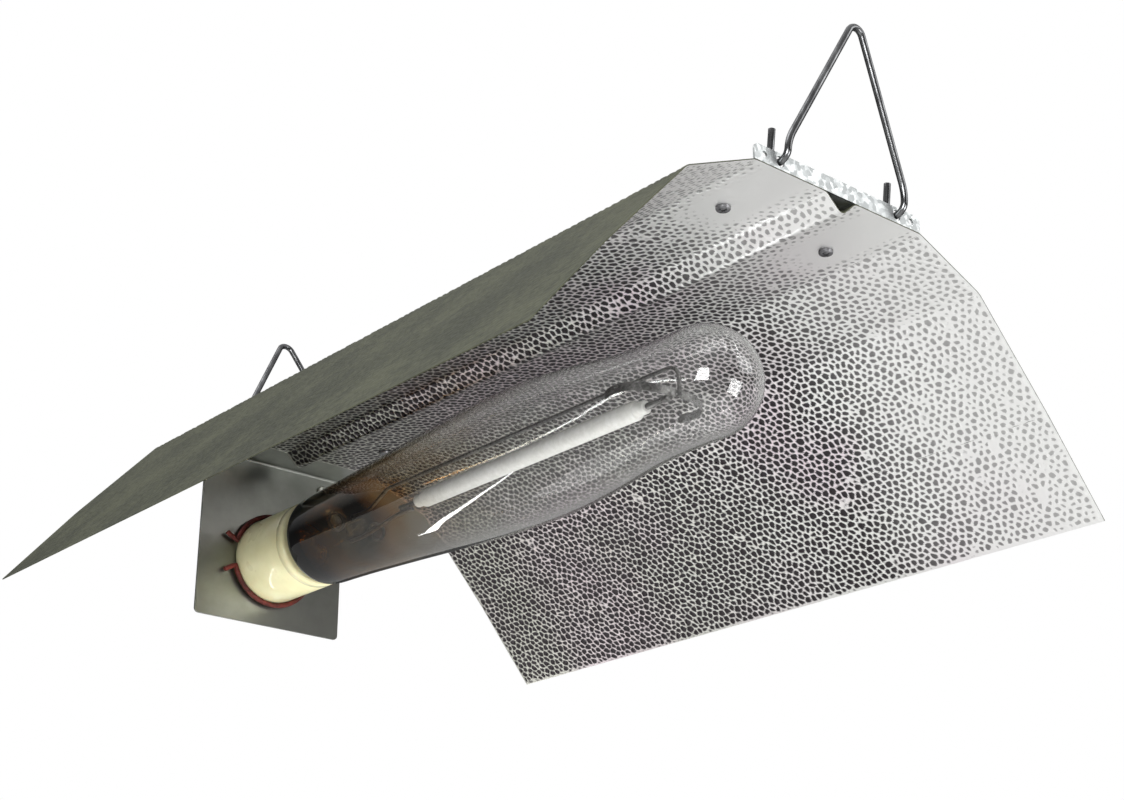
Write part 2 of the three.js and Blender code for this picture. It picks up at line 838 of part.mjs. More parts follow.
function glandNut() {
  const start = plateFront + SEAT;
  const front = start + gland.nutThickness;
  const boreRadius = shankRadius + GAP;
  const flats = 2 * (boreRadius + gland.nutWall);
  const body = bar(hexRadius(flats), point(start, 0, 0), point(front, 0, 0), 6);
  return cut(body, bar(boreRadius, point(start - PAST, 0, 0), point(front + PAST, 0, 0)));
}

function glandCap() {
  const start = plateBack - SEAT - gland.hexThickness - SEAT;
  const end = start - gland.capLength;
  const lip = start - gland.neckLength - GAP;
  const body = turned(
    [
      [end, gland.bore],
      ...gland.capEnd.map(([x, inset]) => [end + x, capRadius - inset]),
      [start, capRadius],
      [start, capInner],
      [lip, capInner],
      [lip, gland.bore],
      [end, gland.bore],
    ],
    24,
  );
  const { count, radius, proud } = gland.flutes;
  const flute = (_, i) => {
    const angle = (2 * Math.PI * i) / count;
    const [y, z] = [(capRadius + proud) * Math.cos(angle), (capRadius + proud) * Math.sin(angle)];
    return bar(radius, point(end + gland.flutes.start, y, z), point(start + PAST, y, z), 8);
  };
  return cut(body, ...Array.from({ length: count }, flute));
}

// ---------------------------------------------------------------- the lamp

function lampBaseShell() {
  const crest = thread.lampRadius;
  const outside = [
    [baseFoot, capBase.insulatorRadius + capBase.footLip],
    [baseWaveStart - capBase.footRun, crest - thread.depth],
    ...threadWave(baseWaveStart, crest),
    [baseRim, crest],
  ];
  const inside = moved(outside, -thread.wall).reverse();
  return turned([...outside, ...inside, outside[0]], thread.sides);
}

function lampInsulator() {
  const { insulatorRadius: radius, insulatorEdge: edge, collar, tipRadius } = capBase;
  return turned(
    [
      [insulatorTip, 0],
      [insulatorTip, tipRadius + edge],
      [insulatorTip + edge, tipRadius + 2 * edge],
      [baseFoot - edge, radius],
      [baseFoot, radius + collar.rise],
      [baseFoot + collar.length, radius + collar.rise],
      [baseFoot + collar.length, 0],
    ],
    24,
  );
}

function lampTipContact() {
  const { tipRadius, tipLength } = capBase;
  const front = insulatorTip - SEAT;
  return turned(
    [
      [front - tipLength, 0],
      [front - tipLength, tipRadius - 2.5],
      [front - tipLength * 0.6, tipRadius - 0.8],
      [front, tipRadius],
      [front, 0],
    ],
    24,
  );
}

// The outside of the glass, from the edge of its neck to the middle of its dome.
function glassLine() {
  const from = (pairs) => pairs.map(([x, radius]) => [holderFront + x, radius]);
  const [domeStart, domeRadius] = glass.body[glass.body.length - 1];
  const dome = Array.from({ length: glass.domeSteps }, (_, i) => {
    const angle = ((i + 1) * Math.PI) / (2 * glass.domeSteps);
    return [domeStart + glass.domeLength * Math.sin(angle), domeRadius * Math.cos(angle)];
  });
  dome[dome.length - 1][1] = 0;
  return [[neckStart, neckRadius], ...from([...glassCollar, ...glass.shoulder, ...glass.body, ...dome])];
}

function lampEnvelope() {
  const outside = glassLine();
  const inside = moved(outside, -glass.wall).reverse();
  inside[0] = [outside[outside.length - 1][0] - glass.wall, 0];
  inside[inside.length - 1] = [neckStart + glass.wall, neckRadius - glass.wall];
  return turned([
    ...outside,
    ...inside,
    [neckStart + glass.wall, neckHole],
    [neckStart, neckHole],
    outside[0],
  ]);
}

// Radius of the inside of the glass at a distance from the front of the lampholder.
function glassInside(x) {
  const line = [...glassCollar, ...glass.shoulder, ...glass.body];
  const i = line.findIndex(([station]) => station >= x);
  const [[x0, r0], [x1, r1]] = [line[i - 1], line[i]];
  return THREE.MathUtils.lerp(r0, r1, (x - x0) / (x1 - x0)) - glass.wall;
}

function lampStem() {
  const { flareSeat, flareEdge, flareLength, tubeRadius, tubeEnd, pinchRadius, pinchStart, end } = stem;
  const flareRadius = neckHole - stem.flareGap;
  return turned(
    [
      [neckStart - flareSeat, 0],
      [neckStart - flareSeat, flareRadius],
      [neckStart + flareEdge, flareRadius],
      [neckStart + flareLength, tubeRadius],
      [holderFront + tubeEnd, tubeRadius],
      [holderFront + pinchStart, pinchRadius],
      [holderFront + end, pinchRadius],
      [holderFront + end, 0],
    ],
    24,
  );
}

function arcTube() {
  const { radius, endRadius, endLength, endTaper } = burner;
  return turned(
    [
      [burnerStart, 0],
      [burnerStart, endRadius],
      [burnerStart + endLength, endRadius],
      [burnerStart + endLength + endTaper, radius],
      [burnerEnd - endLength - endTaper, radius],
      [burnerEnd - endLength, endRadius],
      [burnerEnd, endRadius],
      [burnerEnd, 0],
    ],
    24,
  );
}

// The long support wire: from beside the stem, out along the lamp, and in to the dome's middle.
function mainFrameWire() {
  const { offset, tip, bend, radius, foot, heel, joggle, joggleRise } = frameWire;
  const low = stem.tubeRadius + radius + GAP;
  const start = holderFront + stem.end - foot;
  const out = holderFront + stem.end + joggle;
  const end = holderFront + tip;
  const corner = arc(point(end - bend, 0, offset - bend), point(0, 0, 1), point(1, 0, 0), bend, 0, 90, 5);
  return wireAlong(
    [
      point(start, 0, low),
      point(holderFront + stem.end + heel, 0, low),
      point(out - joggleRise, 0, offset - radius),
      point(out, 0, offset),
      ...corner,
      point(end, 0, -burner.leadRadius),
    ],
    radius,
  );
}

// The short lead from the stem to the near end of the burner.
function leadFrameWire() {
  const { radius, foot } = frameWire;
  const { heel, taper, overlap, leadShare } = leadWire;
  const low = -(stem.tubeRadius + radius + GAP);
  const end = burnerStart - burner.leadLength * leadShare;
  const drop = -(burner.leadRadius + radius + GAP);
  return wireAlong(
    [
      point(holderFront + stem.end - foot, 0, low),
      point(holderFront + stem.end + heel, 0, low),
      point(end - taper, 0, drop),
      point(end + overlap, 0, drop),
    ],
    radius,
  );
}

// A flat spring that bears on the inside of the glass near the dome, on one side of the wire.
function domeSpringLeaf(side) {
  const wireEnd = holderFront + frameWire.tip;
  const reach = glassInside(frameWire.tip - domeSpring.touch) - domeSpring.clearance - domeSpring.thickness;
  const inner = frameWire.radius + GAP;
  const mirrored = domeSpring.leaf.map(([x, share]) => [wireEnd - x, side * Math.max(inner, share * reach)]);
  const edge = moved(mirrored, side * domeSpring.thickness);
  const pairs = side > 0 ? [...mirrored, ...edge.reverse()] : [...edge, ...mirrored.reverse()];
  const { width } = domeSpring;
  return new THREE.ExtrudeGeometry(outlineOf(pairs), { depth: width, bevelEnabled: false }).translate(
    0,
    0,
    -width / 2,
  );
}

function getterRing(side) {
  const { radius, wireRadius, standOff, behind } = getter;
  const x = holderFront + stem.end - behind;
  const y = side * (stem.tubeRadius + standOff);
  return new THREE.TorusGeometry(radius, wireRadius, 6, 16).rotateY(Math.PI / 2).translate(x, y, 0);
}

// ---------------------------------------------------------------- assembly

function reflectorAssembly() {
  const group = new THREE.Group();
  group.add(piece("reflector_sheet", reflectorSheet(), hammered));
  for (const [end, side, base, lean] of [
    ["near", 1, SEAT, hanger.leanNear],
    ["far", -1, farBracketBase, hanger.leanFar],
  ]) {
    const folded = piece(`end_bracket_${end}`, endBracket(), galvanised);
    folded.rotation.z = side > 0 ? 0 : Math.PI;
    folded.position.z = base;
    group.add(folded, bracketFasteners(end, side, base), hangerAt(`hanger_${end}`, side, base, lean));
  }
  return group;
}

function lampholderAssembly() {
  const onAxis = new THREE.Group();
  onAxis.position.z = axis;
  onAxis.add(
    piece("lampholder_body", porcelainBody(), porcelain),
    piece("retaining_ring", retainingRing(), oxide),
    piece("screw_shell", screwShell(), brass),
    piece("centre_contact", contactSpring(), brass),
    piece("shell_terminal", terminalBlock(1), brass),
    piece("contact_terminal", terminalBlock(-1, terminalStrip()), brass),
    piece("shell_terminal_screw", terminalScrewAt(1), platedSteel),
    piece("contact_terminal_screw", terminalScrewAt(-1), platedSteel),
    piece("lampholder_screw_upper", holderScrew(fixingOffset), platedSteel),
    piece("lampholder_screw_lower", holderScrew(-fixingOffset), platedSteel),
    piece("cord_gland_body", glandBody(), blackPlastic),
    piece("cord_gland_nut", glandNut(), blackPlastic),
    piece("cord_gland_cap", glandCap(), blackPlastic),
  );

  const earthReach = plate.thickness + 2 * SEAT + nut.height + screw.tail;
  const earthScrew = piece("earth_screw", panScrew(earthReach), brass);
  earthScrew.rotation.y = -Math.PI / 2;
  earthScrew.position.set(plateFront + SEAT, earthOffset, -earth.depth);
  const earthNut = piece("earth_nut", flangedNut(), brass);
  earthNut.rotation.y = -Math.PI / 2;
  earthNut.position.set(plateBack - SEAT, earthOffset, -earth.depth);

  const group = new THREE.Group();
  group.add(piece("lampholder_plate", lampholderPlate(), platedSteel), onAxis, earthScrew, earthNut);
  return group;
}

function lampAssembly() {
  const group = new THREE.Group();
  group.position.z = axis;
  const { leadRadius, leadLength } = burner;
  const lead = (from, to) => bar(leadRadius, point(from, 0, 0), point(to, 0, 0), 12);
  group.add(
    piece("lamp_base_shell", lampBaseShell(), brass),
    piece("lamp_base_insulator", lampInsulator(), blackGlass),
    piece("lamp_base_contact", lampTipContact(), brass),
    piece("lamp_envelope", lampEnvelope(), clearGlass),
    piece("lamp_stem", lampStem(), clearGlass),
    piece("arc_tube", arcTube(), ceramic),
    piece("arc_lead_base_end", lead(burnerStart - leadLength, burnerStart - SEAT), niobium),
    piece("arc_lead_dome_end", lead(burnerEnd + SEAT, burnerEnd + leadLength), niobium),
    piece("frame_wire_long", mainFrameWire(), niobium),
    piece("frame_wire_short", leadFrameWire(), niobium),
    piece("dome_spring_left", domeSpringLeaf(-1), niobium),
    piece("dome_spring_right", domeSpringLeaf(1), niobium),
    piece("getter_ring_left", getterRing(-1), niobium),
    piece("getter_ring_right", getterRing(1), niobium),
  );
  return group;
}

const growLamp = new THREE.Group();
growLamp.position.z = -hangDrop;
growLamp.add(reflectorAssembly(), lampholderAssembly(), lampAssembly());

export default growLamp;
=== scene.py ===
"""A hanging grow lamp: a hammered wing reflector, a porcelain lampholder and a clear discharge lamp."""

import json
import logging
import math
from contextlib import contextmanager
from dataclasses import dataclass, field
from enum import Enum
from typing import Callable, Iterator, Sequence

import bmesh
import bpy
import numpy as np
from mathutils import Matrix, Vector


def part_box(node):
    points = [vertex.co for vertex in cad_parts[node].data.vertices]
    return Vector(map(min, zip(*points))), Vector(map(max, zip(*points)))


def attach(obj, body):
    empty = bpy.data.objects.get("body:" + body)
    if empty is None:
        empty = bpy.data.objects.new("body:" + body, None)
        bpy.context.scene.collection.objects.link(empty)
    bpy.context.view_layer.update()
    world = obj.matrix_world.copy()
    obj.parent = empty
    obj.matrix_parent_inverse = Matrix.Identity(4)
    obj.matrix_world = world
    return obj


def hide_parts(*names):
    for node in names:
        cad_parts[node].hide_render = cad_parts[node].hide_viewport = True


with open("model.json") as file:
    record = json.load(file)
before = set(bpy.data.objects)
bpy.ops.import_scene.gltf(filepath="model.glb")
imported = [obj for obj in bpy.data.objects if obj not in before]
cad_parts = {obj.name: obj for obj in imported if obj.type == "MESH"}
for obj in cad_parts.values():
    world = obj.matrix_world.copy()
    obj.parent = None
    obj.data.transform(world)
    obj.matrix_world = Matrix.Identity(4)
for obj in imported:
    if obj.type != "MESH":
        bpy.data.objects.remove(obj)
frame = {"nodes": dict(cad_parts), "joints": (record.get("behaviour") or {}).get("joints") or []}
log = logging.getLogger("grow_lamp")

MM = 0.001
TURN = 2 * math.pi
SEED = 7
TOUCHING = 1e-6
NET_ROW = math.sqrt(0.75)
Point = tuple[float, float, float]
Pair = tuple[float, float]
Colour = tuple[float, float, float]


# ---------------------------------------------------------------- modelling by hand


def begin() -> None:
    """Leaves nothing selected, so the next operator acts only on the next primitive."""
    if bpy.context.object and bpy.context.object.mode != "OBJECT":
        bpy.ops.object.mode_set(mode="OBJECT")
    bpy.ops.object.select_all(action="DESELECT")


def pick(piece: bpy.types.Object) -> None:
    """Selects one object alone and makes it the active one.

    Args:
        piece: The object to select.
    """
    begin()
    piece.select_set(True)
    bpy.context.view_layer.objects.active = piece


@contextmanager
def editing(piece: bpy.types.Object) -> Iterator[None]:
    """Opens an object in edit mode for the operators inside the block.

    Args:
        piece: The mesh object to open.
    """
    pick(piece)
    bpy.ops.object.mode_set(mode="EDIT")
    yield
    bpy.ops.object.mode_set(mode="OBJECT")


def settle(piece: bpy.types.Object) -> bpy.types.Object:
    """Puts an object's place, turn and scale into its mesh.

    Args:
        piece: The object to settle.

    Returns:
        The same object.
    """
    pick(piece)
    bpy.ops.object.transform_apply(location=True, rotation=True, scale=True)
    return piece


def choose_vertices(piece: bpy.types.Object, test: Callable[[Vector], bool]) -> None:
    """Selects, in edit mode, the vertices whose place passes a test.

    Args:
        piece: The mesh object that is open in edit mode.
        test: Says whether a vertex at a place is wanted.
    """
    bpy.ops.mesh.select_all(action="DESELECT")
    bpy.ops.mesh.select_mode(type="VERT")
    mesh = bmesh.from_edit_mesh(piece.data)
    for vertex in mesh.verts:
        vertex.select = test(vertex.co)
    mesh.select_flush_mode()
    bmesh.update_edit_mesh(piece.data)


def outwards() -> None:
    """Turns every face of the mesh in edit mode outwards."""
    bpy.ops.mesh.select_all(action="SELECT")
    bpy.ops.mesh.normals_make_consistent(inside=False)


def closed() -> None:
    """Merges the points that coincide, in edit mode, and turns every face outwards."""
    bpy.ops.mesh.select_all(action="SELECT")
    bpy.ops.mesh.remove_doubles(threshold=TOUCHING)
    outwards()


def modified(piece: bpy.types.Object, kind: str, **settings: object) -> bpy.types.Object:
    """Adds one modifier, sets it and applies it.

    Args:
        piece: The object to change.
        kind: The modifier's type.
        **settings: The modifier's own settings.

    Returns:
        The same object.
    """
    pick(piece)
    bpy.ops.object.modifier_add(type=kind)
    modifier = piece.modifiers[-1]
    for name, value in settings.items():
        setattr(modifier, name, value)
    bpy.ops.object.modifier_apply(modifier=modifier.name)
    return piece


def combined(piece: bpy.types.Object, other: bpy.types.Object, operation: str) -> bpy.types.Object:
    """Joins to or cuts from one solid another, which is used up.

    Args:
        piece: The solid that is kept.
        other: The solid that is used up.
        operation: UNION, DIFFERENCE or INTERSECT.

    Returns:
        The same object.
    """
    modified(piece, "BOOLEAN", object=other, operation=operation, solver="EXACT")
    bpy.data.objects.remove(other)
    return piece


def softened(
    piece: bpy.types.Object, width: float, segments: int = 2, angle: float = 40
) -> bpy.types.Object:
    """Rounds the edges that are sharper than an angle in degrees.

    Args:
        piece: The object to round.
        width: How wide the rounding is.
        segments: How many facets it has.
        angle: Edges sharper than this are rounded.

    Returns:
        The same object.
    """
    return modified(
        piece, "BEVEL", width=width, segments=segments, limit_method="ANGLE", angle_limit=math.radians(angle)
    )


def chain(points: Sequence[Point]) -> bpy.types.Object:
    """Draws an open line of edges, one vertex extruded from point to point.

    Args:
        points: The line's points in order.

    Returns:
        The line, with all of it selected when it is next opened.
    """
    begin()
    bpy.ops.mesh.primitive_plane_add(size=MM, location=(0, 0, 0))
    line = bpy.context.object
    with editing(line):
        bpy.ops.mesh.merge(type="CENTER")
        bpy.ops.transform.translate(value=points[0])
        for start, end in zip(points, points[1:]):
            step = tuple(b - a for a, b in zip(start, end))
            bpy.ops.mesh.extrude_region_move(TRANSFORM_OT_translate={"value": step})
        bpy.ops.mesh.select_all(action="SELECT")
    return line


def turned(profile: Sequence[Pair], height: float, steps: int = 96) -> bpy.types.Object:
    """Spins a profile of (x, radius) pairs about the line along X at a height.

    Args:
        profile: Where the outline goes, along X and outwards.
        height: The height of the line it spins about.
        steps: How many facets there are in a turn.

    Returns:
        The turned shell, with its normals outwards.
    """
    piece = chain([(x, 0, height + radius) for x, radius in profile])
    with editing(piece):
        bpy.ops.mesh.select_all(action="SELECT")
        bpy.ops.mesh.spin(steps=steps, angle=TURN, center=(0, 0, height), axis=(1, 0, 0))
        closed()
    return piece


def bar(radius: float, start: Point, end: Point, sides: int = 32) -> bpy.types.Object:
    """Adds a plain round bar from one point to another, for cutting or for shaping further.

    Args:
        radius: The bar's radius.
        start: The middle of one end.
        end: The middle of the other end.
        sides: How many sides it has.

    Returns:
        The bar.
    """
    begin()
    along = Vector(end) - Vector(start)
    turn = along.to_track_quat("Z", "Y").to_euler()
    middle = (Vector(start) + Vector(end)) / 2
    bpy.ops.mesh.primitive_cylinder_add(
        vertices=sides, radius=radius, depth=along.length, location=middle, rotation=turn
    )
    return settle(bpy.context.object)


def block(low: Point, high: Point) -> bpy.types.Object:
    """Adds a plain block between two corners, for cutting or for shaping further.

    Args:
        low: The lowest corner.
        high: The highest corner.

    Returns:
        The block.
    """
    begin()
    low, high = Vector(low), Vector(high)
    bpy.ops.mesh.primitive_cube_add(size=1, location=(low + high) / 2, scale=high - low)
    return settle(bpy.context.object)


def wire(points: Sequence[Point], radius: float, rounded: float = 0.0) -> bpy.types.Object:
    """Runs a round wire along points.

    Args:
        points: The middle of the wire.
        radius: Half its thickness.
        rounded: How far its cut ends are rounded.

    Returns:
        The wire as a mesh.
    """
    begin()
    bpy.ops.curve.primitive_nurbs_path_add(location=(0, 0, 0))
    curve = bpy.context.object.data
    curve.splines.clear()
    spline = curve.splines.new("POLY")
    spline.points.add(len(points) - 1)
    for point, place in zip(spline.points, points):
        point.co = (*place, 1)
    curve.dimensions = "3D"
    curve.bevel_depth = radius
    curve.bevel_resolution = 4
    curve.use_fill_caps = True
    bpy.ops.object.convert(target="MESH")
    piece = bpy.context.object
    with editing(piece):
        closed()
    return softened(piece, rounded, 4, 60) if rounded else piece


def mapped(
    columns: int, rows: int, place: Callable[[np.ndarray, np.ndarray], np.ndarray]
) -> bpy.types.Object:
    """Adds a fine grid and lays it on a surface.

    Args:
        columns: How many cells the grid has across.
        rows: How many cells it has the other way.
        place: Gives the places for two arrays of shares from 0 to 1.

    Returns:
        The grid on its surface.
    """
    begin()
    bpy.ops.mesh.primitive_grid_add(x_subdivisions=columns, y_subdivisions=rows, size=1, location=(0, 0, 0))
    piece = bpy.context.object
    flat = np.empty(len(piece.data.vertices) * 3)
    piece.data.vertices.foreach_get("co", flat)
    share = flat.reshape(-1, 3)[:, :2] + 0.5
    piece.data.vertices.foreach_set("co", place(share[:, 0], share[:, 1]).ravel())
    piece.data.update()
    return piece


def copied(piece: bpy.types.Object, matrix: Matrix) -> bpy.types.Object:
    """Copies a piece with its own mesh, moved by a matrix.

    Args:
        piece: The piece to copy.
        matrix: How the copy is moved.

    Returns:
        The copy.
    """
    twin = piece.copy()
    twin.data = piece.data.copy()
    twin.data.transform(matrix)
    if matrix.is_negative:
        twin.data.flip_normals()
    bpy.context.scene.collection.objects.link(twin)
    return twin


def smooth_line(points: Sequence[Pair], steps: int) -> list[Pair]:
    """Draws a curve through points, with even steps between each two.

    Args:
        points: The points that the curve passes.
        steps: How many steps lie between two of them.

    Returns:
        The curve's points.
    """
    padded = [points[0], *points, points[-1]]
    line: list[Pair] = []
    for a, b, c, d in zip(padded, padded[1:], padded[2:], padded[3:]):
        for step in range(steps):
            t = step / steps
            line.append(
                tuple(
                    0.5
                    * (
                        2 * q
                        + (r - p) * t
                        + (2 * p - 5 * q + 4 * r - s) * t * t
                        + (3 * q - p - 3 * r + s) * t**3
                    )
                    for p, q, r, s in zip(a, b, c, d)
                )
            )
    return [*line, points[-1]]


def round_corner(centre: Pair, radius: float, start: float, end: float, steps: int = 6) -> list[Pair]:
    """Gives points on an arc, with its angles in degrees."""
    angles = (math.radians(start + (end - start) * i / steps) for i in range(steps + 1))
    return [(centre[0] + radius * math.cos(a), centre[1] + radius * math.sin(a)) for a in angles]


# ---------------------------------------------------------------- shader maths and nodes


class Amount:
    """A number socket that takes part in Python sums and adds the Math nodes for them."""

    def __init__(self, tree: bpy.types.NodeTree, socket: bpy.types.NodeSocket) -> None:
        """Wraps a socket of a node tree."""
        self.tree = tree
        self.socket = socket

    def _sum(self, operation: str, first: object, second: object) -> "Amount":
        """Adds one Math node for two numbers or amounts.

        Args:
            operation: The node's operation.
            first: The first number or amount.
            second: The second number or amount.

        Returns:
            The node's result.
        """
        node = self.tree.nodes.new("ShaderNodeMath")
        node.operation = operation
        for place, value in zip(node.inputs, (first, second)):
            if isinstance(value, Amount):
                self.tree.links.new(value.socket, place)
            else:
                place.default_value = value
        return Amount(self.tree, node.outputs[0])

    def __add__(self, other: object) -> "Amount":
        """Adds."""
        return self._sum("ADD", self, other)

    __radd__ = __add__

    def __sub__(self, other: object) -> "Amount":
        """Takes away."""
        return self._sum("SUBTRACT", self, other)

    def __rsub__(self, other: object) -> "Amount":
        """Takes this away from a number."""
        return self._sum("SUBTRACT", other, self)

    def __mul__(self, other: object) -> "Amount":
        """Multiplies."""
        return self._sum("MULTIPLY", self, other)

    __rmul__ = __mul__


class Paint:
    """One material and the few ways in which nodes are added to it."""

    def __init__(self, name: str) -> None:
        """Starts an empty material with a Principled shader.

        Args:
            name: The material's name.
        """
        self.material = bpy.data.materials.new(name)
        self.material.use_nodes = True
        self.tree = self.material.node_tree
        self.shader = self.tree.nodes["Principled BSDF"]

    def node(
        self,
        kind: str,
        settings: dict[str, object] | None = None,
        inputs: dict[object, object] | None = None,
    ) -> bpy.types.Node:
        """Adds one node.

        Args:
            kind: The node's type, without its prefix.
            settings: Its own settings, which are set first.
            inputs: Values or links for its sockets, by name or number.

        Returns:
            The node.
        """
        node = self.tree.nodes.new("ShaderNode" + kind)
        for name, value in (settings or {}).items():
            setattr(node, name, value)
        for name, value in (inputs or {}).items():
            self.feed(node.inputs[name], value)
        return node

    def feed(self, socket: bpy.types.NodeSocket, value: object) -> None:
        """Sets or links one socket.

        Args:
            socket: The socket to set or link.
            value: An amount, a socket or a plain value.
        """
        if isinstance(value, Amount):
            self.tree.links.new(value.socket, socket)
        elif isinstance(value, bpy.types.NodeSocket):
            self.tree.links.new(value, socket)
        else:
            socket.default_value = value

    def amount(self, socket: bpy.types.NodeSocket) -> Amount:
        """Wraps a socket for sums."""
        return Amount(self.tree, socket)

    def place(self, scale: Point = (1, 1, 1)) -> bpy.types.NodeSocket:
        """Gives the object coordinates, stretched."""
        coordinates = self.node("TexCoord").outputs["Object"]
        return self.node("Mapping", inputs={"Vector": coordinates, "Scale": scale}).outputs[0]

    def noise(self, scale: float, detail: float = 3, stretch: Point = (1, 1, 1)) -> Amount:
        """Gives soft noise from 0 to 1 at a scale per metre."""
        inputs = {"Vector": self.place(stretch), "Scale": scale, "Detail": detail, "Roughness": 0.55}
        return self.amount(self.node("TexNoise", inputs=inputs).outputs[0])

    def cells(self, scale: float) -> Amount:
        """Gives one random number for each crystal at a scale per metre.

        Args:
            scale: How many crystals there are to the metre.

        Returns:
            The crystal's number.
        """
        inputs = {"Vector": self.place(), "Scale": scale}
        colour = self.node("TexVoronoi", inputs=inputs).outputs["Color"]
        return self.amount(self.node("SeparateColor", inputs={0: colour}).outputs[0])

    def between(self, share: object, low: float, high: float) -> Amount:
        """Turns a number between two limits into a smooth share from 0 to 1.

        Args:
            share: The number.
            low: Where the share is 0.
            high: Where the share is 1.

        Returns:
            The share.
        """
        settings = {"interpolation_type": "SMOOTHSTEP"}
        inputs = {"Value": share, "From Min": low, "From Max": high}
        return self.amount(self.node("MapRange", settings, inputs).outputs[0])

    def mix(self, share: object, first: object, second: object) -> bpy.types.NodeSocket:
        """Mixes two colours, each a colour or a link.

        Args:
            share: How much of the second colour shows.
            first: The first colour.
            second: The second colour.

        Returns:
            The mixed colour.
        """
        settings = {"data_type": "RGBA"}
        inputs = {0: share, 6: opaque(first), 7: opaque(second)}
        return self.node("Mix", settings, inputs).outputs[2]

    def ramp(self, share: object, stops: Sequence[tuple[float, Colour]]) -> bpy.types.NodeSocket:
        """Runs through coloured stops as a share goes from 0 to 1.

        Args:
            share: The place on the ramp.
            stops: Places from 0 to 1 with their colours.

        Returns:
            The colour.
        """
        node = self.node("ValToRGB", inputs={0: share})
        elements = node.color_ramp.elements
        while len(elements) < len(stops):
            elements.new(1)
        for element, (position, colour) in zip(elements, stops):
            element.position = position
            element.color = (*colour, 1)
        return node.outputs[0]

    def relief(self, height: object, distance: float, strength: float = 1.0) -> bpy.types.NodeSocket:
        """Turns a height into a normal."""
        inputs = {"Height": height, "Distance": distance, "Strength": strength}
        return self.node("Bump", inputs=inputs).outputs[0]

    def finish(self, **sockets: object) -> bpy.types.Material:
        """Sets the shader's own sockets, with an underscore for each space in a name.

        Args:
            **sockets: Values or links, by the sockets' names.

        Returns:
            The material.
        """
        for name, value in sockets.items():
            self.feed(self.shader.inputs[name.replace("_", " ")], opaque(value))
        return self.material


def opaque(value: object) -> object:
    """Gives a plain colour its fourth number and leaves anything else alone."""
    return (*value, 1) if isinstance(value, tuple) and len(value) == 3 else value


# ---------------------------------------------------------------- finishes


class Grain(Enum):
    """How a metal's surface is broken up."""

    SPANGLE = "crystals"
    DRAWN = "lines along the metal"
    CLOUDED = "clouds"


@dataclass(frozen=True)
class Metal:
    """A metal with two tones, wear and fine grain."""

    name: str
    light: Colour
    dark: Colour
    grain: Grain = Grain.CLOUDED
    scale: float = 120
    roughness: Pair = (0.25, 0.42)
    relief: float = 0.02 * MM
    metallic: float = 1.0
    stretch: Point = (1, 1, 1)

    def build(self) -> bpy.types.Material:
        """Makes the material.

        Returns:
            The material.
        """
        paint = Paint(self.name)
        clouds = paint.noise(self.scale * 0.2, 4)
        if self.grain is Grain.SPANGLE:
            pattern = paint.cells(self.scale) * 0.6 + clouds * 0.4
        elif self.grain is Grain.DRAWN:
            pattern = paint.noise(self.scale * 4, 4, self.stretch) * 0.7 + clouds * 0.3
        else:
            pattern = paint.noise(self.scale, 5) * 0.5 + clouds * 0.5
        share = paint.between(pattern, 0.3, 0.7)
        low, high = self.roughness
        return paint.finish(
            Base_Color=paint.mix(share, self.dark, self.light),
            Metallic=self.metallic,
            Roughness=share * (low - high) + high,
            Normal=paint.relief(paint.noise(self.scale * 6, 3), self.relief),
        )


@dataclass(frozen=True)
class HammeredAluminium:
    """The bright inner face: a light net with painted shade in its round dents, a painted darker reflection
    towards the far end and less painted shade towards the open end.
    """

    name: str = "hammered aluminium"
    net: Colour = (0.93, 0.93, 0.92)
    # Painted shade: the near-black colour laid into the dents stands in for their shade and dark
    # reflections.
    cell: Colour = (0.038, 0.033, 0.036)
    far_net_painted_dark: Colour = (0.62, 0.62, 0.56)
    blush: Colour = (0.80, 0.66, 0.75)

    def build(self) -> bpy.types.Material:
        """Makes the material.

        Returns:
            The material.
        """
        paint = Paint(self.name)
        cell = paint.amount(paint.node("Attribute", {"attribute_name": "cell"}).outputs["Fac"])
        along = paint.amount(paint.node("SeparateXYZ", inputs={0: paint.place()}).outputs[0])
        # Painted darker reflection: the net turns darker and olive towards the far end.
        far = paint.between(along * -1.0 + paint.noise(6, 3) * 0.2, -0.1, 0.28)
        net = paint.mix(far, self.net, self.far_net_painted_dark)
        # The painted shade fades towards the open end, and the pink tint fades with it.
        painted_shade_fade = paint.between(along + paint.noise(11, 2) * 0.06, 0.12, 0.27)
        blush = paint.between(paint.noise(9, 2), 0.42, 0.66) * (1.0 - painted_shade_fade) * 0.55
        net = paint.mix(blush, net, self.blush)
        # Painted shade: the dents grow darker towards the far end.
        far_painted_shade = paint.between(along * -1.0, -0.2, 0.1)
        # How much painted shade each point gets: the dent's depth with noise, more towards the far end and
        # less towards the open end.
        depth = cell + (paint.noise(700, 2) - 0.5) * 0.35 + far_painted_shade * 0.15 - painted_shade_fade * 0.28
        dark = paint.between(depth, 0.1, 0.52) * (1.0 - painted_shade_fade * 0.5)
        fine = paint.noise(1500, 3)
        return paint.finish(
            Base_Color=paint.mix(dark, net, self.cell),
            Metallic=0.92,
            Roughness=0.3 + fine * 0.14 - dark * 0.08,
            Normal=paint.relief(fine, 0.03 * MM),
        )


@dataclass(frozen=True)
class DullAluminium:
    """The outer face of the sheet: dull olive-grey, its darkness partly its own tone and partly painted
    shade, with the hammering showing faintly.
    """

    name: str = "dull aluminium"
    # Partly painted shade: both tones are kept dark to match the outer face's shaded look.
    light: Colour = (0.082, 0.087, 0.052)
    dark: Colour = (0.034, 0.038, 0.021)

    def build(self) -> bpy.types.Material:
        """Makes the material.

        Returns:
            The material.
        """
        paint = Paint(self.name)
        cloud = paint.noise(14, 4) * 0.55 + paint.noise(160, 3) * 0.45
        share = paint.between(cloud, 0.36, 0.66)
        return paint.finish(
            Base_Color=paint.mix(share, self.dark, self.light),
            Metallic=0.3,
            Roughness=0.5 + cloud * 0.2,
            Normal=paint.relief(paint.noise(900, 3), 0.03 * MM),
        )


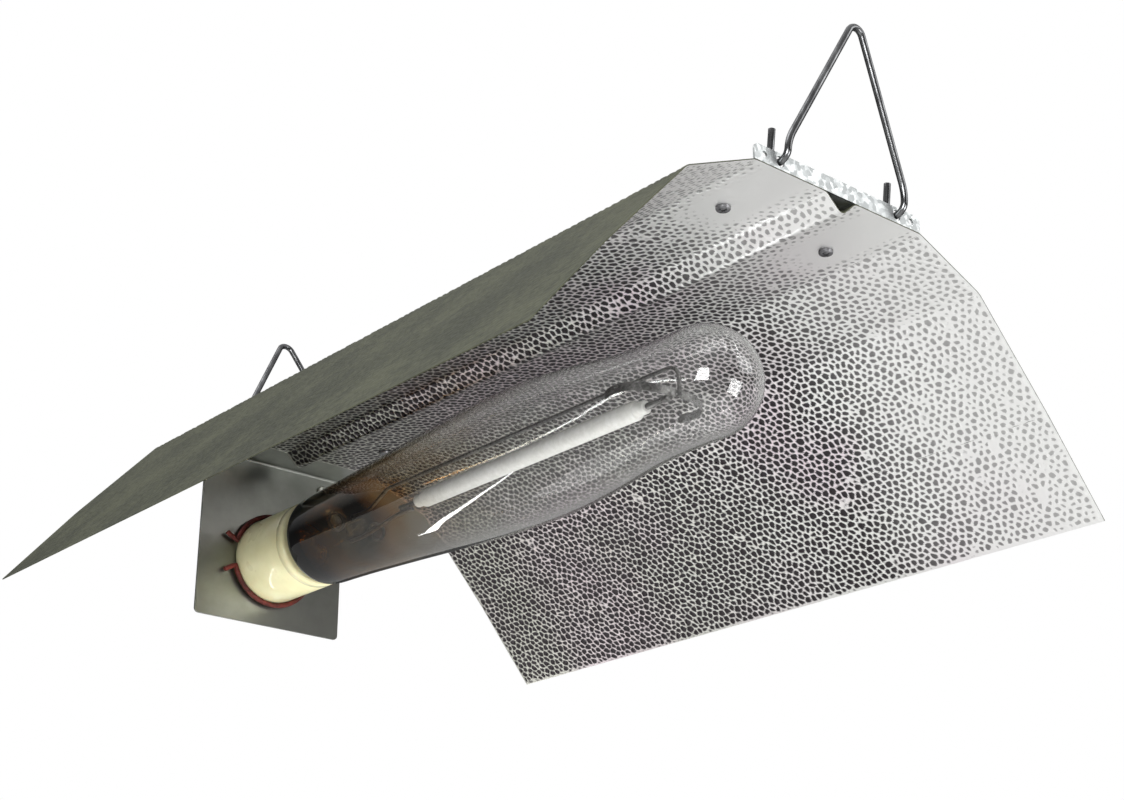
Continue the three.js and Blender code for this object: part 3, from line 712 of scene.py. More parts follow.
@dataclass(frozen=True)
class Porcelain:
    """Cream glazed porcelain with a little warmth and pooling in the glaze."""

    name: str = "cream porcelain"
    light: Colour = (0.76, 0.73, 0.46)
    dark: Colour = (0.64, 0.60, 0.35)

    def build(self) -> bpy.types.Material:
        """Makes the material.

        Returns:
            The material.
        """
        paint = Paint(self.name)
        glaze = paint.noise(30, 3)
        specks = paint.between(paint.noise(900, 2), 0.68, 0.74)
        colour = paint.mix(paint.between(glaze, 0.3, 0.7), self.light, self.dark)
        return paint.finish(
            Base_Color=paint.mix(specks * 0.35, colour, (0.32, 0.26, 0.14)),
            Roughness=0.22 + glaze * 0.12,
            Coat_Weight=0.6,
            Coat_Roughness=0.06,
            Subsurface_Weight=0.08,
            Subsurface_Scale=0.004,
            Normal=paint.relief(paint.noise(120, 3), 0.12 * MM),
        )


@dataclass(frozen=True)
class Plastic:
    """A moulded or fired material with a slight grain."""

    name: str
    light: Colour
    dark: Colour
    roughness: Pair = (0.35, 0.5)
    scale: float = 300
    relief: float = 0.03 * MM
    coat: float = 0.0

    def build(self) -> bpy.types.Material:
        """Makes the material.

        Returns:
            The material.
        """
        paint = Paint(self.name)
        grain = paint.noise(self.scale, 4)
        share = paint.between(grain, 0.3, 0.7)
        low, high = self.roughness
        return paint.finish(
            Base_Color=paint.mix(share, self.dark, self.light),
            Roughness=share * (low - high) + high,
            Coat_Weight=self.coat,
            Normal=paint.relief(paint.noise(self.scale * 3, 3), self.relief),
        )


@dataclass(frozen=True)
class LampGlass:
    """Clear glass, black at its neck and turning through brown to clear."""

    name: str = "lamp glass"
    neck: float = -0.2279
    reach: float = 0.16
    # Black at the neck, through brown, to clear glass.
    neck_tones: tuple[tuple[float, Colour], ...] = (
        (0.0, (0.004, 0.003, 0.003)),
        (0.22, (0.003, 0.002, 0.002)),
        (0.27, (0.20, 0.085, 0.025)),
        (0.38, (0.60, 0.33, 0.12)),
        (0.48, (0.60, 0.47, 0.29)),
        (0.66, (0.70, 0.66, 0.56)),
        (0.90, (0.90, 0.90, 0.87)),
        (1.0, (0.965, 0.97, 0.965)),
    )

    def build(self) -> bpy.types.Material:
        """Makes the material.

        Returns:
            The material.
        """
        paint = Paint(self.name)
        along = paint.amount(paint.node("SeparateXYZ", inputs={0: paint.place()}).outputs[0])
        wander = (paint.noise(40, 4) - 0.5) * paint.between(along, self.neck + 0.03, self.neck + 0.06) * 0.5
        share = (along - self.neck) * (1 / self.reach) + wander
        return paint.finish(
            Base_Color=paint.ramp(share, self.neck_tones),
            Roughness=0.02 + paint.between(paint.noise(60, 5), 0.55, 0.8) * 0.05,
            Transmission_Weight=1.0,
            IOR=1.47,
            Normal=paint.relief(paint.noise(22, 2), 0.12 * MM),
        )


@dataclass(frozen=True)
class StemGlass:
    """Thick clear glass, a little green, with seed bubbles."""

    name: str = "stem glass"

    def build(self) -> bpy.types.Material:
        """Makes the material.

        Returns:
            The material.
        """
        paint = Paint(self.name)
        seeds = paint.between(paint.noise(500, 2), 0.62, 0.7)
        return paint.finish(
            Base_Color=paint.mix(seeds, (0.80, 0.83, 0.78), (0.55, 0.55, 0.5)),
            Roughness=0.04 + seeds * 0.2,
            Transmission_Weight=1.0,
            IOR=1.5,
            Normal=paint.relief(paint.noise(90, 3), 0.3 * MM),
        )


class Finishes:
    """Every material of the lamp, made once."""

    def __init__(self) -> None:
        """Makes the materials, the sheet's first and the lamp's last."""
        clouded, drawn = Grain.CLOUDED, Grain.DRAWN
        smooth = 0.004 * MM
        self.hammered = HammeredAluminium().build()
        self.dull = DullAluminium().build()
        self.galvanised = Metal(
            "galvanised steel", (0.60, 0.62, 0.62), (0.46, 0.48, 0.48), Grain.SPANGLE, 380, (0.36, 0.52)
        ).build()
        self.plated = Metal(
            "plated plate", (0.35, 0.36, 0.33), (0.22, 0.228, 0.21), clouded, 40, (0.30, 0.38), smooth
        ).build()
        self.fastener = Metal(
            "plated fastener", (0.72, 0.71, 0.66), (0.40, 0.40, 0.38), clouded, 500, (0.2, 0.4)
        ).build()
        self.dark_fastener = Metal(
            "dark fastener", (0.30, 0.30, 0.31), (0.10, 0.10, 0.105), clouded, 500, (0.4, 0.6)
        ).build()
        light, dark = (0.24, 0.245, 0.25), (0.07, 0.07, 0.073)
        self.steel_wire = Metal(
            "bright wire", light, dark, drawn, 60, (0.16, 0.28), smooth, stretch=(1, 1, 0.12)
        ).build()
        self.brass = Metal(
            "contact brass", (0.80, 0.60, 0.25), (0.50, 0.34, 0.13), clouded, 200, (0.22, 0.42)
        ).build()
        self.lamp_brass = Metal(
            "lamp brass", (0.83, 0.70, 0.42), (0.55, 0.43, 0.22), clouded, 240, (0.2, 0.38)
        ).build()
        self.niobium = Metal(
            "niobium", (0.26, 0.255, 0.25), (0.08, 0.078, 0.075), drawn, 150, (0.25, 0.45)
        ).build()
        light, dark = (0.17, 0.026, 0.018), (0.035, 0.009, 0.007)
        self.oxide = Metal(
            "ring oxide", light, dark, clouded, 380, (0.5, 0.75), 0.06 * MM, metallic=0.35
        ).build()
        self.porcelain = Porcelain().build()
        self.ceramic = Plastic("arc ceramic", (0.93, 0.92, 0.89), (0.82, 0.81, 0.77)).build()
        light, dark = (0.03, 0.022, 0.02), (0.012, 0.009, 0.008)
        self.base_glass = Plastic("base glass", light, dark, (0.08, 0.2), 150, 0.05 * MM, 0.5).build()
        self.nylon = Plastic("black nylon", (0.035, 0.035, 0.036), (0.016, 0.016, 0.017)).build()
        self.lamp_glass = LampGlass().build()
        self.stem_glass = StemGlass().build()


def dressed(
    piece: bpy.types.Object,
    name: str,
    materials: Sequence[bpy.types.Material],
    body: str = "root",
    stands_for: Sequence[str] = (),
    angle: float = 35,
) -> bpy.types.Object:
    """Names a finished piece, gives it its materials and hands it to the frame.

    Args:
        piece: The finished mesh.
        name: What the piece is called.
        materials: Its materials in the order of its slots.
        body: The body that it moves with.
        stands_for: The nodes that it stands for.
        angle: Edges flatter than this, in degrees, are shaded smooth.

    Returns:
        The same object.
    """
    settle(piece)
    piece.name = name
    piece.data.name = name
    piece.data.materials.clear()
    for material in materials:
        piece.data.materials.append(material)
    bpy.ops.object.shade_smooth_by_angle(angle=math.radians(angle))
    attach(piece, body)
    if stands_for:
        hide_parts(*stands_for)
    log.info("%s on %s: %d faces", name, body, len(piece.data.polygons))
    return piece


# ---------------------------------------------------------------- the reflector


@dataclass
class Hammering:
    """The pattern of shallow round dents that is rolled into the sheet."""

    pitch: float = 4.4 * MM
    jitter: float = 0.33
    depth: float = 0.42 * MM
    rim: float = 0.62
    oval: float = 1.12
    reach: float = 0.32
    spare: int = 8

    def __post_init__(self) -> None:
        """Draws the seeded wander of every dent."""
        self.side = int(2 * self.reach / self.pitch) + self.spare
        self.rows = int(2 * self.reach / (self.pitch * NET_ROW)) + self.spare
        draw = np.random.default_rng(SEED)
        self.wander = draw.uniform(-self.jitter, self.jitter, (self.rows, self.side, 2)) * self.pitch

    def at(self, x: np.ndarray, s: np.ndarray) -> np.ndarray:
        """Says how deep in a dent each point of the flat sheet is.

        Args:
            x: Places along the sheet.
            s: Places across it.

        Returns:
            Shares from 0 on the net to 1 in the middle of a dent.
        """
        row_pitch = self.pitch * NET_ROW
        x = (x + self.reach) / self.oval
        s = s + self.reach
        row = np.rint(s / row_pitch).astype(int)
        nearest = np.full(x.shape, 1.0)
        second = np.full(x.shape, 1.0)
        for row_step in (-1, 0, 1):
            j = np.clip(row + row_step, 0, self.rows - 1)
            shift = 0.5 * (j % 2)
            column = np.rint(x / self.pitch - shift).astype(int)
            for step in (-1, 0, 1):
                i = np.clip(column + step, 0, self.side - 1)
                centre = self.wander[j, i]
                away = np.hypot(
                    x - (i + shift) * self.pitch - centre[:, 0], s - j * row_pitch - centre[:, 1]
                )
                second = np.where(away < nearest, nearest, np.minimum(second, away))
                nearest = np.minimum(nearest, away)
        share = np.clip((second - nearest) / (self.rim * self.pitch), 0, 1)
        return share * share * (3 - 2 * share)


@dataclass
class Reflector:
    """The folded hammered sheet, made facet by facet."""

    length: float = 485 * MM
    thickness: float = 0.6 * MM
    groove: Pair = (10 * MM, 9 * MM)
    roof: float = 50 * MM
    facets: tuple[Pair, ...] = ((50.2 * MM, 23.4), (75.5 * MM, 47.5), (65.5 * MM, 49.8))
    bend: float = 3 * MM
    cell: float = 0.92 * MM
    smooth_from: float = 150 * MM
    smooth_over: Pair = (40 * MM, 12 * MM)
    smooth_share: Pair = (0.95, 0.7)
    calm_edge: float = 3 * MM
    samples: int = 6001
    hammering: Hammering = field(default_factory=Hammering)

    def __post_init__(self) -> None:
        """Works out the folded section once, as places and slopes along the sheet's width."""
        half, depth = self.groove
        runs = [(math.hypot(half, depth), -math.degrees(math.atan2(depth, half))), (self.roof, 0.0)]
        runs += list(self.facets)
        self.folds = [0.0]
        for run, _ in runs:
            self.folds.append(self.folds[-1] + run)
        self.along = np.linspace(0, self.folds[-1], self.samples)
        slope = np.full(self.along.shape, 0.0)
        before = 0.0
        for start, (_, degrees) in zip(self.folds, runs):
            share = np.clip((self.along - start + self.bend) / (2 * self.bend), 0, 1)
            if start == 0:
                share = np.clip(self.along / self.bend, 0, 1)
            slope += (math.radians(degrees) - before) * share * share * (3 - 2 * share)
            before = math.radians(degrees)
        self.slope = slope
        step = self.along[1]
        self.y = np.concatenate([[0], np.cumsum(np.cos(slope[:-1]) * step)])
        drop = np.concatenate([[0], np.cumsum(np.sin(slope[:-1]) * step)])
        level = np.interp((self.folds[1] + self.folds[2]) / 2, self.along, drop)
        self.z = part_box("reflector_sheet")[1].z - drop + level

    def surface(self, x: np.ndarray, s: np.ndarray) -> tuple[np.ndarray, np.ndarray]:
        """Lays points of the flat sheet on the folded, hammered one.

        Args:
            x: Places along the sheet.
            s: Places across it from the middle, to the left below zero.

        Returns:
            The points' places, and how deep in a dent each is.
        """
        side = np.where(s < 0, -1.0, 1.0)
        far = np.abs(s)
        y, z, slope = (np.interp(far, self.along, line) for line in (self.y, self.z, self.slope))
        cell = self.hammering.at(x, s)
        edge = np.minimum(self.length / 2 - np.abs(x), self.folds[-1] - far)
        calm = np.clip(edge / self.calm_edge, 0, 1)
        along, across = self.smooth_over
        relief, tone = self.smooth_share
        flat = np.minimum(self.folds[2] - far, far - self.folds[1] - 2 * MM) / across
        roof_end = np.clip((x - self.smooth_from) / along, 0, 1) * np.clip(flat, 0, 1)
        sink = (1 - cell) * calm * (1 - relief * roof_end) * self.hammering.depth
        # The dent share that places the painted shade is weakened with the relief towards the roof's open
        # end.
        cell = cell * (1 - tone * roof_end)
        places = np.stack([x, side * (y - sink * np.sin(slope)), z - sink * np.cos(slope)], axis=1)
        return places, cell * calm

    def facet(self, name: str, low: float, high: float, finishes: Finishes) -> None:
        """Makes the strip of the sheet between two folds.

        Args:
            name: What the strip is called.
            low: Where it starts across the flat sheet.
            high: Where it ends.
            finishes: The lamp's finishes.
        """
        cells: list[np.ndarray] = []

        def place(u: np.ndarray, v: np.ndarray) -> np.ndarray:
            """Lays the grid on the sheet and keeps the dents.

            Args:
                u: Shares along the sheet.
                v: Shares across the strip.

            Returns:
                The places.
            """
            places, cell = self.surface((u - 0.5) * self.length, low + v * (high - low))
            cells.append(cell)
            return places

        strip = mapped(round(self.length / self.cell), max(8, round((high - low) / self.cell)), place)
        # The dent share is kept on the points, where it places the painted shade in the dents.
        strip.data.attributes.new("cell", "FLOAT", "POINT").data.foreach_set("value", cells[0])
        strip.data.materials.append(finishes.dull)
        strip.data.materials.append(finishes.hammered)
        modified(
            strip,
            "SOLIDIFY",
            thickness=self.thickness,
            offset=-1,
            use_even_offset=False,
            material_offset=1,
            material_offset_rim=0,
        )
        sides = np.empty(len(strip.data.polygons), int)
        strip.data.polygons.foreach_get("material_index", sides)
        dressed(
            strip,
            name,
            (finishes.dull, finishes.hammered),
            stands_for=("reflector_sheet",),
            angle=60,
        )
        strip.data.polygons.foreach_set("material_index", sides)

    def build(self, finishes: Finishes) -> None:
        """Makes every strip.

        Args:
            finishes: The lamp's finishes.
        """
        self.facet("reflector_groove", -self.folds[1], self.folds[1], finishes)
        parts = ("roof", "shoulder", "wing", "skirt")
        for part, start, end in zip(parts, self.folds[1:], self.folds[2:]):
            self.facet(f"reflector_{part}_right", start, end, finishes)
            self.facet(f"reflector_{part}_left", -end, -start, finishes)


# ---------------------------------------------------------------- brackets and fasteners


@dataclass
class EndBracket:
    """A folded strip across one end of the roof: a plate on the roof and an upright bar."""

    thickness: float = 1.2 * MM
    reach: float = 57 * MM
    half_width: float = 54 * MM
    corner: float = 6 * MM
    bar_half: float = 61 * MM
    bar_height: float = 9 * MM
    bar_corner: float = 3 * MM
    fold: float = 1.6 * MM
    hanger_hole: tuple[float, float, float] = (43 * MM, 4.4 * MM, 2.9 * MM)
    end_hole: tuple[float, float, float] = (54 * MM, 4.4 * MM, 1.8 * MM)
    screw_hole: tuple[float, float, float] = (44.5 * MM, 38 * MM, 2.3 * MM)

    def leaf(self, size: Pair, corners: float, keep: Callable[[Vector], bool]) -> bpy.types.Object:
        """Cuts a flat blank with two rounded corners, lying flat with its size in X and Y.

        Args:
            size: How big it is in X and Y.
            corners: How far its corners are rounded.
            keep: Says whether the corner at a place is rounded.

        Returns:
            The blank.
        """
        begin()
        bpy.ops.mesh.primitive_plane_add(size=1, location=(0, 0, 0))
        blank = bpy.context.object
        with editing(blank):
            bpy.ops.mesh.select_all(action="SELECT")
            bpy.ops.transform.resize(value=(*size, 1), center_override=(0, 0, 0))
            choose_vertices(blank, keep)
            bpy.ops.mesh.bevel(offset=corners, segments=6, affect="VERTICES")
            bpy.ops.mesh.select_all(action="SELECT")
            bpy.ops.mesh.extrude_region_move(TRANSFORM_OT_translate={"value": (0, 0, self.thickness)})
            outwards()
        return blank

    def build(self, end: str, finishes: Finishes) -> None:
        """Makes the bracket at one end.

        Args:
            end: Which end it is: near or far.
            finishes: The lamp's finishes.
        """
        low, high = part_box(f"end_bracket_{end}")
        side = 1 if end == "near" else -1
        edge = high.x if side > 0 else -low.x
        plate = self.leaf((self.reach, 2 * self.half_width), self.corner, lambda place: place.x < 0)
        plate.data.transform(Matrix.Translation((edge - self.reach / 2, 0, low.z)))
        size = (self.bar_height, 2 * self.bar_half)
        upright = self.leaf(size, self.bar_corner, lambda place: place.x < 0)
        stand = Matrix.Translation((edge - self.thickness, 0, low.z + self.bar_height / 2))
        upright.data.transform(stand @ Matrix.Rotation(math.pi / 2, 4, "Y"))
        fillet = block(
            (edge - self.thickness - self.fold, -self.half_width, low.z + self.thickness / 2),
            (edge - self.thickness / 2, self.half_width, low.z + self.thickness + self.fold),
        )
        hollow = bar(
            self.fold,
            (edge - self.thickness - self.fold, -0.07, low.z + self.thickness + self.fold),
            (edge - self.thickness - self.fold, 0.07, low.z + self.thickness + self.fold),
        )
        combined(fillet, hollow, "DIFFERENCE")
        combined(plate, upright, "UNION")
        combined(plate, fillet, "UNION")
        for hand in (-1, 1):
            for y, z, radius in (self.hanger_hole, self.end_hole):
                start = (edge - 8 * MM, hand * y, low.z + z)
                cutter = bar(radius, start, (edge + 5 * MM, hand * y, low.z + z))
                combined(plate, cutter, "DIFFERENCE")
            inset, y, radius = self.screw_hole
            x = edge - inset
            cutter = bar(radius, (x, hand * y, low.z - MM), (x, hand * y, low.z + 5 * MM))
            combined(plate, cutter, "DIFFERENCE")
        softened(plate, 0.22 * MM, 2, 50)
        if side < 0:
            plate.data.transform(Matrix.Rotation(math.pi, 4, "Z"))
        name = f"end_bracket_{end}"
        dressed(
            plate, f"{name}_sheet", (finishes.galvanised,), stands_for=(name,), angle=20
        )


@dataclass
class Fastener:
    """A slotted pan-head screw and a flanged nut, made at the origin along Z."""

    radius: float = 2 * MM
    head: float = 3.9 * MM
    head_height: float = 2.4 * MM
    slot: Pair = (0.9 * MM, 1.1 * MM)
    pitch: float = 0.7 * MM
    flats: float = 7 * MM
    nut_height: float = 3.2 * MM
    flange: Pair = (4.6 * MM, 0.9 * MM)

    def screw(self, reach: float) -> bpy.types.Object:
        """Makes a screw that points along +Z, with the underside of its head at the origin.

        Args:
            reach: How far it goes from under its head.

        Returns:
            The screw.
        """
        head, height, radius = self.head, self.head_height, self.radius
        profile = [(-height, 0.0), (-height, head * 0.45)]
        profile += round_corner((-height * 0.42, head - height * 0.5), height * 0.5, 165, 90)
        profile += [(-0.15 * MM, head), (0.0, head - 0.15 * MM), (0.0, radius)]
        threads = int((reach - 1.2 * MM) / self.pitch)
        for turn in range(threads):
            x = 0.4 * MM + turn * self.pitch
            profile += [(x, radius - 0.3 * MM), (x + self.pitch / 2, radius)]
        profile += [(reach - 0.6 * MM, radius - 0.3 * MM), (reach, radius - 0.8 * MM), (reach, 0.0)]
        piece = turned(profile, 0.0, 32)
        width, depth = self.slot
        for across, along in ((head * 0.66, width / 2), (width / 2, head * 0.66)):
            cutter = block((-height - MM, -across, -along), (depth - height, across, along))
            combined(piece, cutter, "DIFFERENCE")
        softened(piece, 0.08 * MM, 1, 50)
        piece.data.transform(Matrix.Rotation(-math.pi / 2, 4, "Y"))
        return piece

    def nut(self) -> bpy.types.Object:
        """Makes a nut that stands on the origin along +Z.

        Returns:
            The nut.
        """
        begin()
        across = self.flats / math.sqrt(3)
        bpy.ops.mesh.primitive_cylinder_add(
            vertices=6, radius=across, depth=self.nut_height, location=(0, 0, self.nut_height / 2)
        )
        piece = settle(bpy.context.object)
        radius, thick = self.flange
        dome = [(0.0, 0.0), (0.0, radius), (thick * 0.5, radius), (thick, radius - 0.5 * MM)]
        dome += [(self.nut_height * 0.72, across * 1.02)]
        dome += [(self.nut_height, across * 0.86), (self.nut_height, 0.0)]
        collar = turned(dome, 0.0, 32)
        collar.data.transform(Matrix.Rotation(-math.pi / 2, 4, "Y"))
        combined(piece, collar, "INTERSECT")
        disc = bar(radius, (0, 0, 0), (0, 0, thick))
        softened(disc, 0.3 * MM, 2)
        combined(piece, disc, "UNION")
        combined(piece, bar(self.radius + 0.25 * MM, (0, 0, -MM), (0, 0, 6 * MM)), "DIFFERENCE")
        return softened(piece, 0.12 * MM, 2, 50)


@dataclass
class Fixings:
    """The bracket screws and nuts and the earth screw and nut, each a copy of one that is modelled once."""

    fastener: Fastener = field(default_factory=Fastener)

    def put(self, model: bpy.types.Object, node: str, kind: str, finishes: Finishes) -> None:
        """Copies a screw or a nut to the place of a node and turns it as that is turned.

        Args:
            model: The screw or nut to copy.
            node: The node that the copy stands for.
            kind: What it is: screw or nut.
            finishes: The lamp's finishes.
        """
        low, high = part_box(node)
        middle = (low + high) / 2
        if node.startswith("bracket"):
            start = low.z + self.fastener.head_height if kind == "screw" else low.z
            matrix = Matrix.Translation((middle.x, middle.y, start))
        else:
            start = high.x - self.fastener.head_height if node == "earth_screw" else high.x
            matrix = Matrix.Translation((start, middle.y, middle.z)) @ Matrix.Rotation(-math.pi / 2, 4, "Y")
        piece = copied(model, matrix)
        metal = finishes.dark_fastener if node.startswith("bracket_screw") else finishes.fastener
        dressed(piece, f"{node}_{kind}", (metal,), stands_for=(node,), angle=20)

    def build(self, finishes: Finishes) -> None:
        """Makes the bracket fasteners and the earth screw.

        Args:
            finishes: The lamp's finishes.
        """
        nut = self.fastener.nut()
        for end in ("near", "far", "earth"):
            bracket = end != "earth"
            hands = ("_left", "_right") if bracket else ("",)
            stem = f"bracket_{{}}_{end}" if bracket else "earth_{}"
            first = stem.format("screw") + hands[0]
            low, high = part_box(first)
            reach = (high.z - low.z if bracket else high.x - low.x) - self.fastener.head_height
            screw = self.fastener.screw(reach)
            for hand in hands:
                self.put(screw, stem.format("screw") + hand, "screw", finishes)
                self.put(nut, stem.format("nut") + hand, "nut", finishes)
            bpy.data.objects.remove(screw)
        bpy.data.objects.remove(nut)


# ---------------------------------------------------------------- wire hangers


@dataclass
class WireHanger:
    """One bent wire: a rounded top, two legs, and a hook at each foot with a free end."""

    radius: float = 1.9 * MM
    hook: float = 6 * MM
    leg: float = 43 * MM
    stub: float = 19.5 * MM
    knee: float = 11 * MM
    knee_round: float = 6 * MM
    rise: float = 87.3 * MM
    top: float = 5.5 * MM
    leans: tuple[float, float] = (8, 15)

    def half(self, side: int) -> list[Point]:
        """Gives the points from the top to one free end, about the middle of the hooks.

        Args:
            side: -1 for the left half and 1 for the right.

        Returns:
            The points.
        """
        top_centre = self.rise - self.top
        to_knee = Vector((self.leg, self.knee - top_centre))
        touch = math.degrees(math.atan2(to_knee.y, to_knee.x) + math.acos(self.top / to_knee.length))
        crown = round_corner((0, top_centre), self.top, 90, touch, 10)
        end = Vector(crown[-1])
        knee = Vector((self.leg, self.knee))
        bend_start = knee + (end - knee).normalized() * self.knee_round
        foot = Vector((self.leg, self.hook))
        points = [(self.hook, y, z) for y, z in crown]
        for step in range(1, 9):
            y, z = end.lerp(bend_start, step / 8)
            points.append((self.hook, y, z))
        for step in range(1, 8):
            t = step / 8
            y, z = bend_start * (1 - t) ** 2 + knee * (2 * t * (1 - t)) + foot * t * t
            points.append((self.hook, y, z))
        points += [(x, self.leg, z) for x, z in round_corner((0, self.hook), self.hook, 0, -180, 24)]
        points += [(-self.hook, self.leg, self.hook + (self.stub - self.hook) * i / 4) for i in range(1, 5)]
        return [(x, side * y, z - self.hook) for x, y, z in points]

    def build(self, end: str, finishes: Finishes) -> None:
        """Makes the hanger at one end.

        Args:
            end: Which end it is: near or far.
            finishes: The lamp's finishes.
        """
        joint = next(item for item in frame["joints"] if item["child"] == f"hanger_{end}")
        line = [*reversed(self.half(-1)), *self.half(1)[1:]]
        piece = wire(line, self.radius, 1.1 * MM)
        lean = self.leans[0] if end == "near" else self.leans[1]
        matrix = Matrix.Translation(joint["pos_m"])
        if end == "far":
            matrix = matrix @ Matrix.Rotation(math.pi, 4, "Z")
        piece.data.transform(matrix @ Matrix.Rotation(math.radians(lean), 4, "Y"))
        node = f"hanger_{end}"
        dressed(piece, f"{node}_wire", (finishes.steel_wire,), node, (node,), 60)


# ---------------------------------------------------------------- lampholder and its plate


@dataclass
class HolderPlate:
    """The bent end plate that carries the lampholder."""

    thickness: float = 1.2 * MM
    half_width: float = 55.5 * MM
    bend: float = 3 * MM
    corner: float = 3 * MM
    gland_hole: float = 6.5 * MM
    fixing: Pair = (23.6 * MM, 2.0 * MM)
    screw_hole: float = 2.3 * MM

    def build(self, axis: float, finishes: Finishes) -> None:
        """Makes the plate, bent over at the top and cut for its fixings.

        Args:
            axis: The height of the lamp's own axis.
            finishes: The lamp's finishes.
        """
        low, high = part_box("lampholder_plate")
        bend_x, bend_z = low.x + self.bend, high.z - self.bend
        arc = round_corner((bend_x, bend_z), self.bend, 180, 90, 8)
        outline = [(low.x, low.z), *arc, (high.x, high.z)]
        piece = chain([(x, -self.half_width, z) for x, z in outline])
        with editing(piece):
            bpy.ops.mesh.select_all(action="SELECT")
            across = (0, 2 * self.half_width, 0)
            bpy.ops.mesh.extrude_region_move(TRANSFORM_OT_translate={"value": across})
            choose_vertices(piece, lambda place: place.z < low.z + MM or place.x > high.x - MM)
            bpy.ops.mesh.bevel(offset=self.corner, segments=4, affect="VERTICES")
            outwards()
        inward = self.inward(piece)
        modified(piece, "SOLIDIFY", thickness=self.thickness, offset=inward, use_even_offset=True)
        offset, fixing = self.fixing
        earth_low, earth_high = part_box("earth_nut")
        earth = (earth_low + earth_high) / 2
        holes = [(0, axis, self.gland_hole), (0, axis - offset, fixing), (0, axis + offset, fixing)]
        holes.append((earth.y, earth.z, self.screw_hole))
        for y, z, radius in holes:
            cutter = bar(radius, (low.x - 5 * MM, y, z), (low.x + 5 * MM, y, z))
            combined(piece, cutter, "DIFFERENCE")
        for node in ("bracket_screw_far_left", "bracket_screw_far_right"):
            start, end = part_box(node)
            middle = (start + end) / 2
            below = (middle.x, middle.y, high.z - 5 * MM)
            above = (middle.x, middle.y, high.z + 5 * MM)
            combined(piece, bar(self.screw_hole, below, above), "DIFFERENCE")
        softened(piece, 0.2 * MM, 2, 50)
        dressed(
            piece,
            "lampholder_plate_sheet",
            (finishes.plated,),
            stands_for=("lampholder_plate",),
            angle=20,
        )

    def inward(self, piece: bpy.types.Object) -> float:
        """Says which way the wall grows, so that it grows towards the lamp."""
        upright = max(piece.data.polygons, key=lambda face: abs(face.normal.x) * face.area)
        return 1.0 if upright.normal.x > 0 else -1.0


